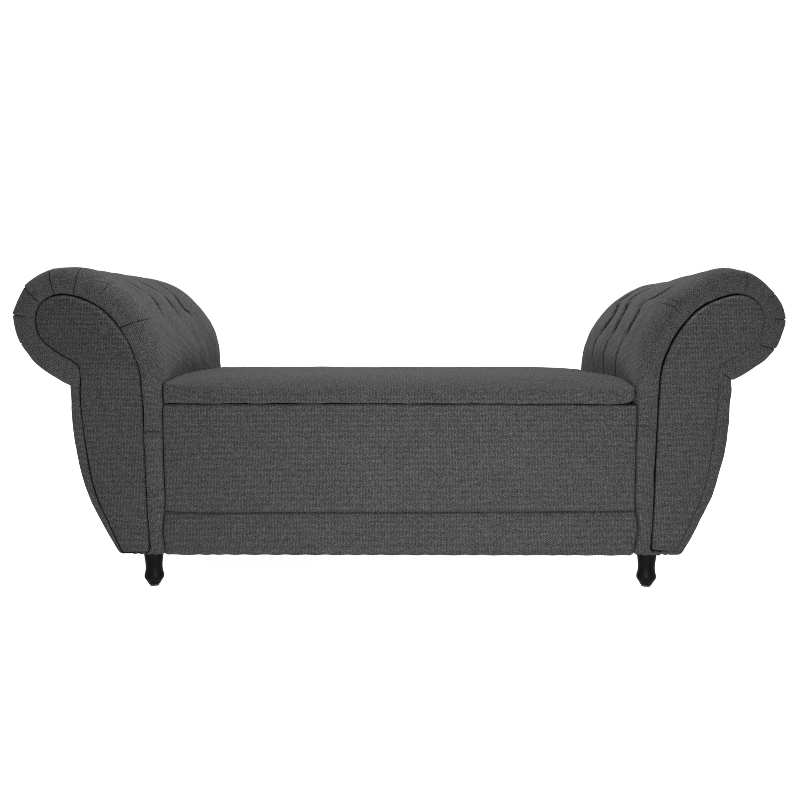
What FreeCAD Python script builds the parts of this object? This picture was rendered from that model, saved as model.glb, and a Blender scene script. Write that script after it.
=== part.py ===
import FreeCAD, Part
import math
import os
import re
from FreeCAD import Vector, Placement, Rotation

# Storage bench with two outward scroll arms, a hinged padded lid over a box,
# gas stays and four turned legs.
# Millimetres. X along the bench, Y from front to back, Z up, origin on the
# floor under the centre.

doc = FreeCAD.newDocument("storage_recamier")
sheet = doc.addObject("Spreadsheet::Sheet", "dims")
VAL = {}


def cell(name, value):
    row = len(VAL) + 1
    text = "%.6f" % value
    sheet.set("A%d" % row, name)
    sheet.set("B%d" % row, text)
    sheet.setAlias("B%d" % row, name)
    VAL[name] = float(text)


# ---------------------------------------------------------------- dimensions
for name, value in [
    ("half_depth", 280.0), ("band_half", 278.0), ("wood_half", 262.0),
    ("prof_thick", 18.0), ("base_z", 80.0), ("rim_z", 397.5),
    ("lid_under", 402.0), ("lid_board_thick", 15.0), ("lid_top", 452.0),
    ("side_x", 491.5), ("ply", 15.0),
    ("wood_in_x", 498.0), ("inner_board_thick", 12.0), ("rail_top", 112.0),
    ("rail_x_in", 498.5), ("rail_x_out", 577.5),
    ("front_pad_y", 275.0), ("front_pad_x", 489.5), ("front_low", 171.0),
    ("plinth_y", 277.0), ("plinth_top", 168.0), ("base_rail_y", 240.0),
    ("bottom_thick", 9.0), ("top_rail_drop", 30.0), ("top_rail_thick", 18.0),
    ("top_rail_x", 430.0), ("batten_size", 20.0),
    ("lid_pad_x", 487.0), ("lid_pad_front", 277.0), ("lid_pad_rear", 268.0),
    ("lid_board_x", 478.0), ("lid_board_front", 264.0),
    ("leg_x", 535.0), ("leg_y", 240.0), ("stud_r", 4.0), ("bore_r", 4.1),
    ("glide_thick", 3.0), ("glide_r", 10.0),
    ("hinge_y", 272.5), ("hinge_z", 399.75), ("knuckle_r", 4.0),
    ("hinge_pitch", 330.0), ("hinge_len", 80.0), ("leaf_thick", 2.0),
    ("leaf_front", 238.0), ("leaf_rear", 267.8), ("pin_r", 2.0),
    ("pin_fit", 0.05), ("screw_r", 1.8), ("head_r", 3.8),
    ("stay_x", 458.0), ("stay_arm", 230.0), ("stay_a_dy", 60.0),
    ("stay_b_dz", 18.0), ("tube_r", 9.0), ("tube_bore", 8.3),
    ("tube_from", 14.0), ("tube_to", 228.0), ("gland_from", 214.0),
    ("rod_r", 4.0), ("piston_r", 8.2), ("eye_r", 8.0), ("eye_thick", 10.0),
    ("stay_pin_r", 4.0), ("eye_bore", 4.05),
    ("bolt_y", 150.0), ("bolt_low", 200.0), ("bolt_high", 340.0),
    ("button_r", 9.0), ("well_r", 13.0), ("well_deep", 17.0),
]:
    cell(name, value)

# pivots of the gas stays: both stay_arm away from the hinge line
A_Y = VAL["hinge_y"] - VAL["stay_a_dy"]
A_Z = VAL["hinge_z"] - math.sqrt(VAL["stay_arm"] ** 2 - VAL["stay_a_dy"] ** 2)
B_Z = VAL["hinge_z"] - VAL["stay_b_dz"]
B_Y = VAL["hinge_y"] - math.sqrt(VAL["stay_arm"] ** 2 - VAL["stay_b_dz"] ** 2)
for name, value in [
    ("pivot_a_y", A_Y), ("pivot_a_z", A_Z), ("pivot_b_y", B_Y), ("pivot_b_z", B_Z),
    ("stay_len", math.hypot(B_Y - A_Y, B_Z - A_Z)),
    ("stay_tilt", math.degrees(math.atan2(A_Y - B_Y, B_Z - A_Z))),
]:
    cell(name, value)


def bind(obj, prop, expr):
    text = re.sub(r"[a-z][a-z_0-9]*",
                  lambda m: "dims." + m.group(0) if m.group(0) in VAL else m.group(0),
                  str(expr))
    obj.setExpression(prop, text)


def place(obj, x, y, z):
    bind(obj, "Placement.Base.x", x)
    bind(obj, "Placement.Base.y", y)
    bind(obj, "Placement.Base.z", z)


def box(label, x0, x1, y0, y1, z0, z1):
    o = doc.addObject("Part::Box", label)
    o.Label = label
    bind(o, "Length", "(%s) - (%s)" % (x1, x0))
    bind(o, "Width", "(%s) - (%s)" % (y1, y0))
    bind(o, "Height", "(%s) - (%s)" % (z1, z0))
    place(o, x0, y0, z0)
    return o


TURN = {"x": Rotation(Vector(0, 1, 0), 90), "y": Rotation(Vector(1, 0, 0), -90),
        "z": Rotation()}


def cyl(label, r, length, x, y, z, axis="z"):
    o = doc.addObject("Part::Cylinder", label)
    o.Label = label
    o.Placement = Placement(Vector(0, 0, 0), TURN[axis])
    bind(o, "Radius", r)
    bind(o, "Height", length)
    place(o, x, y, z)
    return o


def fuse(label, parts):
    o = doc.addObject("Part::MultiFuse", label)
    o.Label = label
    o.Shapes = parts
    return o


def cut(label, base, tool):
    o = doc.addObject("Part::Cut", label)
    o.Label = label
    o.Base = base
    o.Tool = tool
    return o


def group(label, parts):
    o = doc.addObject("Part::Compound", label)
    o.Label = label
    o.Links = parts
    return o


def mirror(label, source, normal=(1, 0, 0)):
    o = doc.addObject("Part::Mirroring", label)
    o.Label = label
    o.Source = source
    o.Normal = Vector(*normal)
    o.Base = Vector(0, 0, 0)
    return o


# ------------------------------------------------------- outlines from arcs
def unit(v):
    n = math.hypot(v[0], v[1])
    return (v[0] / n, v[1] / n)


def tangents(pts, first=None, last=None):
    n = len(pts)
    out = [None] * n
    for i in range(1, n - 1):
        a = (pts[i][0] - pts[i - 1][0], pts[i][1] - pts[i - 1][1])
        b = (pts[i + 1][0] - pts[i][0], pts[i + 1][1] - pts[i][1])
        la, lb = math.hypot(*a), math.hypot(*b)
        out[i] = unit((a[0] * lb / la + b[0] * la / lb, a[1] * lb / la + b[1] * la / lb))

    def reflect(d, t):
        k = 2 * (d[0] * t[0] + d[1] * t[1])
        return (k * d[0] - t[0], k * d[1] - t[1])

    if first:
        out[0] = unit(first)
    else:
        d = unit((pts[1][0] - pts[0][0], pts[1][1] - pts[0][1]))
        out[0] = reflect(d, out[1]) if n > 2 else d
    if last:
        out[-1] = unit(last)
    else:
        d = unit((pts[-1][0] - pts[-2][0], pts[-1][1] - pts[-2][1]))
        out[-1] = reflect(d, out[-2]) if n > 2 else d
    return out


def arc_geo(p, q, t):
    """Arc from p to q that leaves p along t, as sketch geometry."""
    cx, cy = q[0] - p[0], q[1] - p[1]
    length = math.hypot(cx, cy)
    cross = t[0] * cy - t[1] * cx
    if abs(cross) < 1e-6 * length:
        return Part.LineSegment(Vector(p[0], p[1], 0), Vector(q[0], q[1], 0))
    radius = length * length / (2.0 * cross)
    centre = (p[0] - t[1] * radius, p[1] + t[0] * radius)
    a0 = math.atan2(p[1] - centre[1], p[0] - centre[0])
    a1 = math.atan2(q[1] - centre[1], q[0] - centre[0])
    if radius < 0:
        a0, a1 = a1, a0
    while a1 <= a0:
        a1 += 2 * math.pi
    circle = Part.Circle(Vector(centre[0], centre[1], 0), Vector(0, 0, 1), abs(radius))
    return Part.ArcOfCircle(circle, a0, a1)


def smooth(pts, first=None, last=None):
    """Tangent arcs through the points: two arcs for each gap."""
    tan = tangents(pts, first, last)
    geo = []
    for i in range(len(pts) - 1):
        p, q, s, e = pts[i], pts[i + 1], tan[i], tan[i + 1]
        v = (q[0] - p[0], q[1] - p[1])
        tx, ty = s[0] + e[0], s[1] + e[1]
        vt = v[0] * tx + v[1] * ty
        vv = v[0] * v[0] + v[1] * v[1]
        den = 2.0 * (1.0 - (s[0] * e[0] + s[1] * e[1]))
        if den < 1e-9:
            d = vv / (4.0 * (v[0] * e[0] + v[1] * e[1]))
        else:
            d = (-vt + math.sqrt(vt * vt + den * vv)) / den
        m = ((p[0] + d * s[0] + q[0] - d * e[0]) / 2.0,
             (p[1] + d * s[1] + q[1] - d * e[1]) / 2.0)
        geo.append(arc_geo(p, m, s))
        back = arc_geo(q, m, (-e[0], -e[1]))
        geo.append(back)
    return geo


def lines(*pts):
    return [Part.LineSegment(Vector(a[0], a[1], 0), Vector(b[0], b[1], 0))
            for a, b in zip(pts[:-1], pts[1:])]


def shift(pts, amount, first=None, last=None):
    """Points moved to the left of the direction of travel."""
    return [(p[0] - amount * t[1], p[1] + amount * t[0])
            for p, t in zip(pts, tangents(pts, first, last))]


def origin_plane(body, role):
    return [f for f in body.Origin.OriginFeatures if f.Role == role][0]


def sketch_on(body, name, role, offset, geometry):
    sk = body.newObject("Sketcher::SketchObject", name)
    sk.AttachmentSupport = [(origin_plane(body, role), "")]
    sk.MapMode = "FlatFace"
    if offset is not None:
        bind(sk, "AttachmentOffset.Base.z", offset)
    sk.addGeometry(geometry, False)
    return sk


def slab(label, geometry, front, thick):
    """Flat panel: outline in X and Z, front face at y = front."""
    body = doc.addObject("PartDesign::Body", label)
    body.Label = label
    sk = sketch_on(body, label + "_outline", "XZ_Plane",
                   "0 - (%s) - (%s)" % (front, thick), geometry)
    pad = body.newObject("PartDesign::Pad", label + "_pad")
    pad.Profile = sk
    bind(pad, "Length", thick)
    sk.Visibility = False
    doc.recompute()
    return body


# outer outline of the arm, from the lower inner corner over the roll
INX = VAL["side_x"]
BZ = VAL["base_z"]
OUT_UP = [(INX, 455.0), (494.5, 505.0), (503.0, 532.0), (518.0, 562.0), (540.0, 596.0),
          (568.0, 628.0), (605.0, 657.0), (648.0, 679.0), (690.0, 686.5)]
OUT_ROLL = [(690.0, 686.5), (768.0, 654.0), (799.5, 575.5), (766.5, 497.5), (736.0, 472.0),
            (691.5, 443.5)]
OUT_DOWN = [(691.5, 443.5), (690.4, 405.0), (686.5, 340.0), (676.5, 280.0), (659.0, 212.0),
            (634.5, 154.0), (607.0, 102.0), (593.5, BZ)]
# outline of the facing panel, from the lower inner corner over the roll
FACE = [(529.0, 94.0), (531.6, 169.0), (534.0, 300.0), (537.0, 420.0), (541.6, 475.5),
        (550.0, 503.0), (565.6, 536.0), (581.6, 558.0), (597.5, 577.5), (613.6, 593.5),
        (630.0, 605.5), (652.0, 616.5), (678.0, 625.0), (701.0, 628.5), (720.0, 624.0),
        (736.0, 613.0), (746.0, 598.0), (750.0, 578.0), (748.6, 555.0), (739.5, 534.0),
        (722.0, 515.0), (703.0, 501.0), (682.0, 489.5), (668.5, 477.0), (664.5, 459.0),
        (665.5, 419.0), (664.0, 375.0), (660.0, 333.0), (655.0, 291.0), (647.0, 238.0),
        (633.0, 190.0), (614.5, 150.0), (597.5, 114.0), (583.0, 87.0)]


def outline_out():
    return (lines((INX, BZ), OUT_UP[0]) + smooth(OUT_UP, (0, 1), (1, 0))
            + smooth(OUT_ROLL, (1, 0)) + smooth(OUT_DOWN, (0, -1))
            + lines(OUT_DOWN[-1], (INX, BZ)))


def outline_face(grow):
    pts = shift(FACE, grow) if grow else FACE
    low = FACE[-1][1] - grow
    end = (pts[-1][0] - 0.55 * (pts[-1][1] - low), low)
    start = (FACE[0][0] + 7.0, low)
    return (smooth(pts) + lines(pts[-1], end, start) if grow else
            smooth(pts) + lines(pts[-1], start)) + \
        smooth([start, pts[0]], (-1, 0), tangents(pts)[0])


WOOD = [(540.0, 476.0)] + FACE[5:-1] + [(596.6, VAL["rail_top"])]


def outline_wood():
    x0, z0 = VAL["wood_in_x"], VAL["rail_top"]
    return (lines((x0, z0), (x0, 415.0), WOOD[0]) + smooth(WOOD)
            + lines(WOOD[-1], (x0, z0)))


def outline_cavity():
    x0 = VAL["wood_in_x"] - 1.0
    pts = shift([(540.0, 476.0)] + FACE[5:], 1.0)
    return (lines((x0, 70.0), (x0, 415.4), pts[0]) + smooth(pts)
            + lines(pts[-1], (575.0, 70.0), (x0, 70.0)))


# ------------------------------------------------------------ right-hand arm
NODES = []


def node(obj):
    NODES.append(obj)
    return obj


def both(obj):
    """Keep a right-hand piece and its mirror image."""
    node(obj)
    return node(mirror(obj.Label.replace("right_", "left_"), obj))


front = slab("right_arm_front_profile", outline_wood(), "0 - wood_half", "prof_thick")
rear = slab("right_arm_rear_profile", outline_wood(), "wood_half - prof_thick", "prof_thick")
both(front)
both(rear)

rail = box("arm_rail_blank", "rail_x_in", "rail_x_out", "0 - wood_half", "wood_half",
           "base_z", "rail_top")
rail_bores = group("arm_rail_bores", [
    cyl("arm_rail_bore_a", "6.05", "28.5", "leg_x", "0 - leg_y", "base_z"),
    cyl("arm_rail_bore_b", "6.05", "28.5", "leg_x", "leg_y", "base_z")])
both(cut("right_arm_bottom_rail", rail, rail_bores))

BATTENS = [(690, 590), (612, 562), (630, 438), (510, 380), (570, 125)]
both(group("right_arm_battens", [
    box("arm_batten_%d" % i, x, x + 25, "prof_thick - wood_half", "wood_half - prof_thick",
        z, z + 25) for i, (x, z) in enumerate(BATTENS)]))

blank = box("inner_board_blank", "wood_in_x", "wood_in_x + inner_board_thick",
            "prof_thick - wood_half", "wood_half - prof_thick", "rail_top", "415")
holes = group("inner_board_holes", [
    cyl("inner_hole_%d%d" % (i, j), "bore_r + 0.2", "30", "wood_in_x - 9",
        ("" if i else "0 - ") + "bolt_y", "bolt_high" if j else "bolt_low", "x")
    for i in (0, 1) for j in (0, 1)])
both(cut("right_arm_inner_board", blank, holes))

edge_pts = [p for p in WOOD if p[1] <= 460.0 and p[0] > 590.0]


def level_ends(pts):
    """Both ends moved to the heights of the edge's ends."""
    return [(pts[0][0], edge_pts[0][1])] + pts[1:-1] + [(pts[-1][0] - 0.6, edge_pts[-1][1])]


side_pts = level_ends(shift(edge_pts, -1.5))
inner_pts = level_ends(shift(edge_pts, -4.5))
panel = (smooth(side_pts) + lines(side_pts[-1], inner_pts[-1])
         + smooth(inner_pts[::-1]) + lines(inner_pts[0], side_pts[0]))
both(slab("right_arm_outer_panel", panel, "prof_thick - wood_half + 0.3",
          "2 * (wood_half - prof_thick - 0.3)"))

# padding: the whole arm outline less the frame and the facing recesses
soft = doc.addObject("PartDesign::Body", "arm_soft")
sk = sketch_on(soft, "arm_soft_outline", "XZ_Plane", None, outline_out())
pad = soft.newObject("PartDesign::Pad", "arm_soft_pad")
pad.Profile = sk
pad.Midplane = True
bind(pad, "Length", "2 * band_half")
doc.recompute()
sk = sketch_on(soft, "arm_soft_cavity", "XZ_Plane", None, outline_cavity())
pocket = soft.newObject("PartDesign::Pocket", "arm_soft_hollow")
pocket.Profile = sk
pocket.Midplane = True
bind(pocket, "Length", "2 * wood_half")
doc.recompute()
sk = sketch_on(soft, "arm_soft_facing", "XZ_Plane", None, outline_face(0.5))
pocket = soft.newObject("PartDesign::Pocket", "arm_soft_recess")
pocket.Profile = sk
pocket.Midplane = True
bind(pocket, "Length", "2 * half_depth")
doc.recompute()

# two rows of buttons, each at the bottom of a well square to the surface
TUFTS = [(508.9, 545.0, (0.894, -0.447), y) for y in (-116, 2, 120)] + \
        [(550.7, 609.5, (0.744, -0.668), y) for y in (-96, 22, 140)]


def along(label, r, length, x, y, z, direction):
    o = doc.addObject("Part::Cylinder", label)
    o.Label = label
    o.Placement = Placement(Vector(x, y, z), Rotation(Vector(0, 0, 1),
                                                      Vector(direction[0], 0, direction[1])))
    bind(o, "Radius", r)
    bind(o, "Height", length)
    return o


wells = [along("tuft_well_%d" % i, "well_r", "well_deep + 12", x - 12 * d[0], y, z - 12 * d[1], d)
         for i, (x, z, d, y) in enumerate(TUFTS)]
wells += [cyl("soft_hole_%d%d" % (i, j), "bore_r + 2", "20", "side_x - 9",
              ("" if i else "0 - ") + "bolt_y", "bolt_high" if j else "bolt_low", "x")
          for i in (0, 1) for j in (0, 1)]
both(cut("right_arm_padding", soft, group("arm_soft_wells", wells)))

both(slab("right_arm_front_facing", outline_face(0.0), "0 - half_depth",
          "half_depth - wood_half"))
both(slab("right_arm_rear_facing", outline_face(0.0), "wood_half", "half_depth - wood_half"))

both(group("right_arm_buttons", [
    along("arm_button_%d" % i, "button_r", "6", x + (VAL["well_deep"] - 6) * d[0], y,
          z + (VAL["well_deep"] - 6) * d[1], d) for i, (x, z, d, y) in enumerate(TUFTS)]))

# ------------------------------------------------------------- storage box
node(box("front_board", "0 - side_x", "side_x", "0 - wood_half", "ply - wood_half",
         "front_low", "rim_z"))
node(box("front_pad", "0 - front_pad_x", "front_pad_x", "0 - front_pad_y", "0 - wood_half",
         "front_low + 1.5", "rim_z + 0.5"))
node(box("base_front_rail", "0 - side_x", "side_x", "0 - wood_half", "0 - base_rail_y",
         "base_z", "plinth_top"))
node(box("plinth_pad", "0 - front_pad_x", "front_pad_x", "0 - plinth_y", "0 - wood_half",
         "base_z - 1", "plinth_top + 2"))
node(box("back_board", "0 - side_x", "side_x", "wood_half - ply", "wood_half",
         "base_z", "rim_z"))
node(box("back_cover", "0 - front_pad_x", "front_pad_x", "wood_half", "wood_half + 4",
         "base_z", "rim_z - 2"))
blank = box("side_board_blank", "side_x - ply", "side_x", "ply - wood_half", "wood_half - ply",
            "base_z", "rim_z")
# the lower front edge clears the base rail
notch = box("side_board_notch", "side_x - ply - 1", "side_x + 1", "ply - wood_half - 1",
            "0 - base_rail_y", "base_z - 1", "plinth_top + 1")
holes = group("side_board_holes", [notch] + [
    cyl("side_hole_%d%d" % (i, j), "bore_r + 0.2", "30", "side_x - ply - 7",
        ("" if i else "0 - ") + "bolt_y", "bolt_high" if j else "bolt_low", "x")
    for i in (0, 1) for j in (0, 1)])
both(cut("right_side_board", blank, holes))
node(box("bottom_board", "ply - side_x", "side_x - ply", "0 - base_rail_y", "wood_half - ply",
         "rail_top", "rail_top + bottom_thick"))
node(group("base_rails", [
    box("base_rail_%d" % i, x - 15, x + 15, "0 - base_rail_y", "wood_half - ply - 22",
        "base_z", "rail_top") for i, x in enumerate((-240, 0, 240))] + [
    box("base_rail_rear", "ply - side_x", "side_x - ply", "wood_half - ply - 22",
        "wood_half - ply", "base_z", "rail_top")]))
node(group("box_top_rails", [
    box("top_rail_front", "ply - side_x", "side_x - ply", "ply - wood_half",
        "ply - wood_half + top_rail_thick", "rim_z - top_rail_drop", "rim_z"),
    box("top_rail_rear", "0 - top_rail_x", "top_rail_x", "wood_half - ply - top_rail_thick",
        "wood_half - ply", "rim_z - top_rail_drop", "rim_z")]))
node(group("box_corner_battens", [
    box("corner_batten_%d%d" % (i, j),
        "side_x - ply - batten_size" if i else "ply - side_x",
        "side_x - ply" if i else "ply - side_x + batten_size",
        "wood_half - ply - batten_size" if j else "ply - wood_half",
        "wood_half - ply" if j else "ply - wood_half + batten_size",
        "rail_top + bottom_thick" if j else "front_low", "rim_z - top_rail_drop")
    for i in (0, 1) for j in (0, 1)]))
dust_box = box("dust_cover_box", "0 - front_pad_x", "front_pad_x", "1 - wood_half", "wood_half - 1",
               "base_z - 1", "base_z")
dust_arm = cut("dust_cover_arm_right",
               box("dust_cover_arm_blank", "rail_x_in + 1", "rail_x_out - 1", "5 - wood_half",
                   "wood_half - 5", "base_z - 1", "base_z"),
               group("dust_cover_leg_holes", [
                   cyl("dust_cover_leg_hole_%d" % i, "22", "9", "leg_x", y, "base_z - 5")
                   for i, y in enumerate(("0 - leg_y", "leg_y"))]))
node(group("dust_cover", [dust_box, dust_arm, mirror("dust_cover_arm_left", dust_arm)]))

# -------------------------------------------------------------------- legs
leg = doc.addObject("PartDesign::Body", "front_right_leg")
leg.Label = "front_right_leg"
GL = VAL["glide_thick"]
TURNED = [(12.0, GL), (15.6, 7.5), (19.2, 14.0), (20.3, 20.0), (18.7, 28.0), (17.0, 37.0),
          (16.9, 46.0), (18.3, 58.0), (20.4, 71.0)]
profile = (lines((0, GL), TURNED[0]) + smooth(TURNED, None, (0, 1))
           + lines(TURNED[-1], (20.4, BZ), (VAL["bore_r"], BZ), (VAL["bore_r"], 50.0),
                   (0, 50.0), (0, GL)))
sk = sketch_on(leg, "leg_profile", "XZ_Plane", None, profile)
rev = leg.newObject("PartDesign::Revolution", "leg_turning")
rev.Profile = sk
rev.ReferenceAxis = (sk, ["V_Axis"])
rev.Angle = 360
place(leg, "leg_x", "0 - leg_y", 0)
doc.recompute()
node(leg)
left_leg = node(mirror("front_left_leg", leg))
node(mirror("rear_right_leg", leg, (0, 1, 0)))
node(mirror("rear_left_leg", left_leg, (0, 1, 0)))

CORNERS = [(a, b) for a in ("0 - leg_x", "leg_x") for b in ("0 - leg_y", "leg_y")]
node(group("leg_glides", [cyl("leg_glide_%d" % i, "glide_r", "glide_thick", x, y, 0)
                          for i, (x, y) in enumerate(CORNERS)]))
node(group("leg_studs", [cyl("leg_stud_%d" % i, "stud_r", "56", x, y, 52)
                         for i, (x, y) in enumerate(CORNERS)]))
node(group("leg_inserts", [
    cut("leg_insert_%d" % i, cyl("leg_insert_blank_%d" % i, "6", "26", x, y, "base_z + 2"),
        cyl("leg_insert_bore_%d" % i, "bore_r", "30", x, y, "base_z"))
    for i, (x, y) in enumerate(CORNERS)]))

# ------------------------------------------------- bolts from box to the arms
SPOTS = [(side, y, z) for side in (1, -1) for y in ("0 - bolt_y", "bolt_y")
         for z in ("bolt_low", "bolt_high")]
bolts, nuts = [], []
for i, (side, y, z) in enumerate(SPOTS):
    head = cyl("bolt_head_%d" % i, "8", "5", "side_x - ply - 5" if side > 0 else "ply - side_x",
               y, z, "x")
    shank = cyl("bolt_shank_%d" % i, "stud_r", "47", "side_x - ply - 2" if side > 0 else
                "ply - side_x - 45", y, z, "x")
    bolts.append(fuse("arm_bolt_%d" % i, [head, shank]))
    hexa = doc.addObject("Part::Prism", "nut_blank_%d" % i)
    hexa.Polygon = 6
    hexa.Placement = Placement(Vector(0, 0, 0), TURN["x"])
    bind(hexa, "Circumradius", "7.5")
    bind(hexa, "Height", "7")
    edge = "wood_in_x + inner_board_thick"
    place(hexa, edge if side > 0 else "0 - (%s) - 7" % edge, y, z)
    bore = cyl("nut_bore_%d" % i, "bore_r", "20", edge + " - 5" if side > 0 else
               "0 - (%s) - 15" % edge, y, z, "x")
    nuts.append(cut("arm_bolt_nut_%d" % i, hexa, bore))
node(group("arm_bolts", bolts))
node(group("arm_bolt_nuts", nuts))

# --------------------------------------------------------------------- lid
node(box("lid_board", "0 - lid_board_x", "lid_board_x", "0 - lid_board_front", "wood_half",
         "lid_under", "lid_under + lid_board_thick"))
node(group("lid_battens", [
    box("lid_batten_%d" % i, x - 20, x + 20, -200, 200, "lid_under - 18", "lid_under")
    for i, x in enumerate((-300, 300))]))
lid = doc.addObject("PartDesign::Body", "lid_pad")
lid.Label = "lid_pad"
LU, LT = VAL["lid_under"] + 0.5, VAL["lid_top"]
LF, LR = -VAL["lid_pad_front"], VAL["lid_pad_rear"]
crown = (lines((LF, LU), (LF, 428.0)) + smooth([(LF, 428.0), (LF + 15.0, LT - 3.0)],
                                               (0, 1), (1, 0.04))
         + smooth([(LF + 15.0, LT - 3.0), (-4.5, LT), (LR - 12.0, LT - 3.0)], (1, 0.04))
         + smooth([(LR - 12.0, LT - 3.0), (LR, 432.0)], (1, -0.04), (0, -1))
         + lines((LR, 432.0), (LR, LU), (LF, LU)))
sk = sketch_on(lid, "lid_pad_section", "YZ_Plane", None, crown)
pad = lid.newObject("PartDesign::Pad", "lid_pad_length")
pad.Profile = sk
pad.Midplane = True
bind(pad, "Length", "2 * lid_pad_x")
doc.recompute()
sk = lid.newObject("Sketcher::SketchObject", "lid_pad_recess_outline")
sk.AttachmentSupport = [(origin_plane(lid, "XY_Plane"), "")]
sk.MapMode = "FlatFace"
bind(sk, "AttachmentOffset.Base.z", "lid_under")
bx, by0, by1 = VAL["lid_board_x"], -VAL["lid_board_front"], VAL["wood_half"]
sk.addGeometry(lines((-bx, by0), (bx, by0), (bx, by1), (-bx, by1), (-bx, by0)), False)
pocket = lid.newObject("PartDesign::Pocket", "lid_pad_recess")
pocket.Profile = sk
pocket.Reversed = True
bind(pocket, "Length", "lid_board_thick")
doc.recompute()
node(lid)
node(group("lid_bumpers", [cyl("lid_bumper_%d" % i, "7", "lid_under - rim_z - 0.4", x,
                               "ply / 2 - wood_half", "rim_z + 0.4")
                           for i, x in enumerate((-440, -200, 200, 440))]))

# ------------------------------------------------------------------- hinges
STEP = VAL["hinge_len"] / 5.0


def leaf(label, low, mine):
    """One hinge leaf at the middle of the bench, with its own knuckles."""
    parts = [box(label + "_plate", "0 - hinge_len / 2", "hinge_len / 2", "leaf_front",
                 "leaf_rear", low, "(%s) + leaf_thick" % low)]
    for k in mine:
        x0 = "0 - hinge_len / 2 + %g" % (STEP * k + 0.2)
        parts.append(box("%s_web_%d" % (label, k), x0, "(%s) + %g" % (x0, STEP - 0.4),
                         "leaf_rear - 0.5", "hinge_y", low, "(%s) + leaf_thick" % low))
        parts.append(cyl("%s_knuckle_%d" % (label, k), "knuckle_r", "%g" % (STEP - 0.4), x0,
                         "hinge_y", "hinge_z", "x"))
    solid = fuse(label + "_solid", parts)
    away = [cyl(label + "_bore", "pin_r + pin_fit", "hinge_len + 20", "0 - hinge_len / 2 - 10",
                "hinge_y", "hinge_z", "x")]
    away += [cyl("%s_hole_%d" % (label, i), "head_r + 0.1", "10", x, "wood_half - ply / 2",
                 "(%s) - 4" % low) for i, x in enumerate((-28, 0, 28))]
    return cut(label + "_one", solid, group(label + "_away", away))


PITCH = VAL["hinge_pitch"]


def thrice(label, one):
    """Three separate copies along the rear edge."""
    doc.recompute()
    o = doc.addObject("Part::Feature", label)
    o.Label = label
    shapes = []
    for x in (-PITCH, 0.0, PITCH):
        s = one.Shape.copy()
        s.translate(Vector(x, 0, 0))
        shapes.append(s)
    o.Shape = Part.makeCompound(shapes)
    return o


node(thrice("hinge_fixed_leaves", leaf("hinge_fixed", "rim_z", (0, 2, 4))))
node(thrice("hinge_moving_leaves", leaf("hinge_moving", "lid_under - leaf_thick", (1, 3))))
pin = fuse("hinge_pin_one", [
    cyl("hinge_pin_shaft", "pin_r", "hinge_len + 2", "0 - hinge_len / 2 - 1", "hinge_y",
        "hinge_z", "x"),
    cyl("hinge_pin_head_a", "pin_r + 1", "1.6", "0 - hinge_len / 2 - 1.6", "hinge_y", "hinge_z", "x"),
    cyl("hinge_pin_head_b", "pin_r + 1", "1.6", "hinge_len / 2", "hinge_y", "hinge_z", "x")])
node(thrice("hinge_pins", pin))
SPOT_X = [c + d for c in (-PITCH, 0.0, PITCH) for d in (-28, 0, 28)]
node(group("hinge_screws_frame", [
    fuse("frame_screw_%d" % i, [
        cyl("frame_screw_head_%d" % i, "head_r", "leaf_thick - 0.1", x, "wood_half - ply / 2", "rim_z"),
        cyl("frame_screw_shank_%d" % i, "screw_r", "23", x, "wood_half - ply / 2", "rim_z - 22")])
    for i, x in enumerate(SPOT_X)]))
node(group("hinge_screws_lid", [
    fuse("lid_screw_%d" % i, [
        cyl("lid_screw_head_%d" % i, "head_r", "leaf_thick - 0.1", x, "wood_half - ply / 2",
            "lid_under - leaf_thick + 0.1"),
        cyl("lid_screw_shank_%d" % i, "screw_r", "13", x, "wood_half - ply / 2", "lid_under - 1")])
    for i, x in enumerate(SPOT_X)]))

# ----------------------------------------------------------------- gas stays
# built along Z from the frame pivot, then tilted to the closed position


def tilt(obj):
    obj.Placement = Placement(Vector(VAL["stay_x"], A_Y, A_Z),
                              Rotation(Vector(1, 0, 0), VAL["stay_tilt"]))
    place(obj, "stay_x", "pivot_a_y", "pivot_a_z")
    bind(obj, "Placement.Rotation.Angle", "stay_tilt")
    return obj


tube = fuse("stay_tube_blank", [
    cyl("stay_tube_barrel", "tube_r", "tube_to - tube_from", 0, 0, "tube_from"),
    cyl("stay_tube_neck", "6", "tube_from + 4", 0, 0, "0"),
    cyl("stay_tube_eye", "eye_r", "eye_thick", "0 - eye_thick / 2", 0, 0, "x")])
tube_away = fuse("stay_tube_away", [
    cyl("stay_tube_bore", "tube_bore", "gland_from - 22", 0, 0, "22"),
    cyl("stay_gland_bore", "rod_r + 0.1", "tube_to - gland_from + 3", 0, 0, "gland_from - 1"),
    cyl("stay_tube_eye_bore", "eye_bore", "eye_thick + 10", "0 - eye_thick / 2 - 5", 0, 0, "x")])
both(tilt(cut("right_stay_cylinder", tube, tube_away)))

rod = fuse("stay_rod_blank", [
    cyl("stay_piston", "piston_r", "8", 0, 0, "24"),
    cyl("stay_rod_shaft", "rod_r", "stay_len - 13 - 28", 0, 0, "28"),
    cyl("stay_rod_neck", "5.5", "11", 0, 0, "stay_len - 16"),
    cyl("stay_rod_eye", "eye_r", "eye_thick", "0 - eye_thick / 2", 0, "stay_len", "x")])
both(tilt(cut("right_stay_rod", rod,
              cyl("stay_rod_eye_bore", "eye_bore", "eye_thick + 10", "0 - eye_thick / 2 - 5", 0,
                  "stay_len", "x"))))


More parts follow.
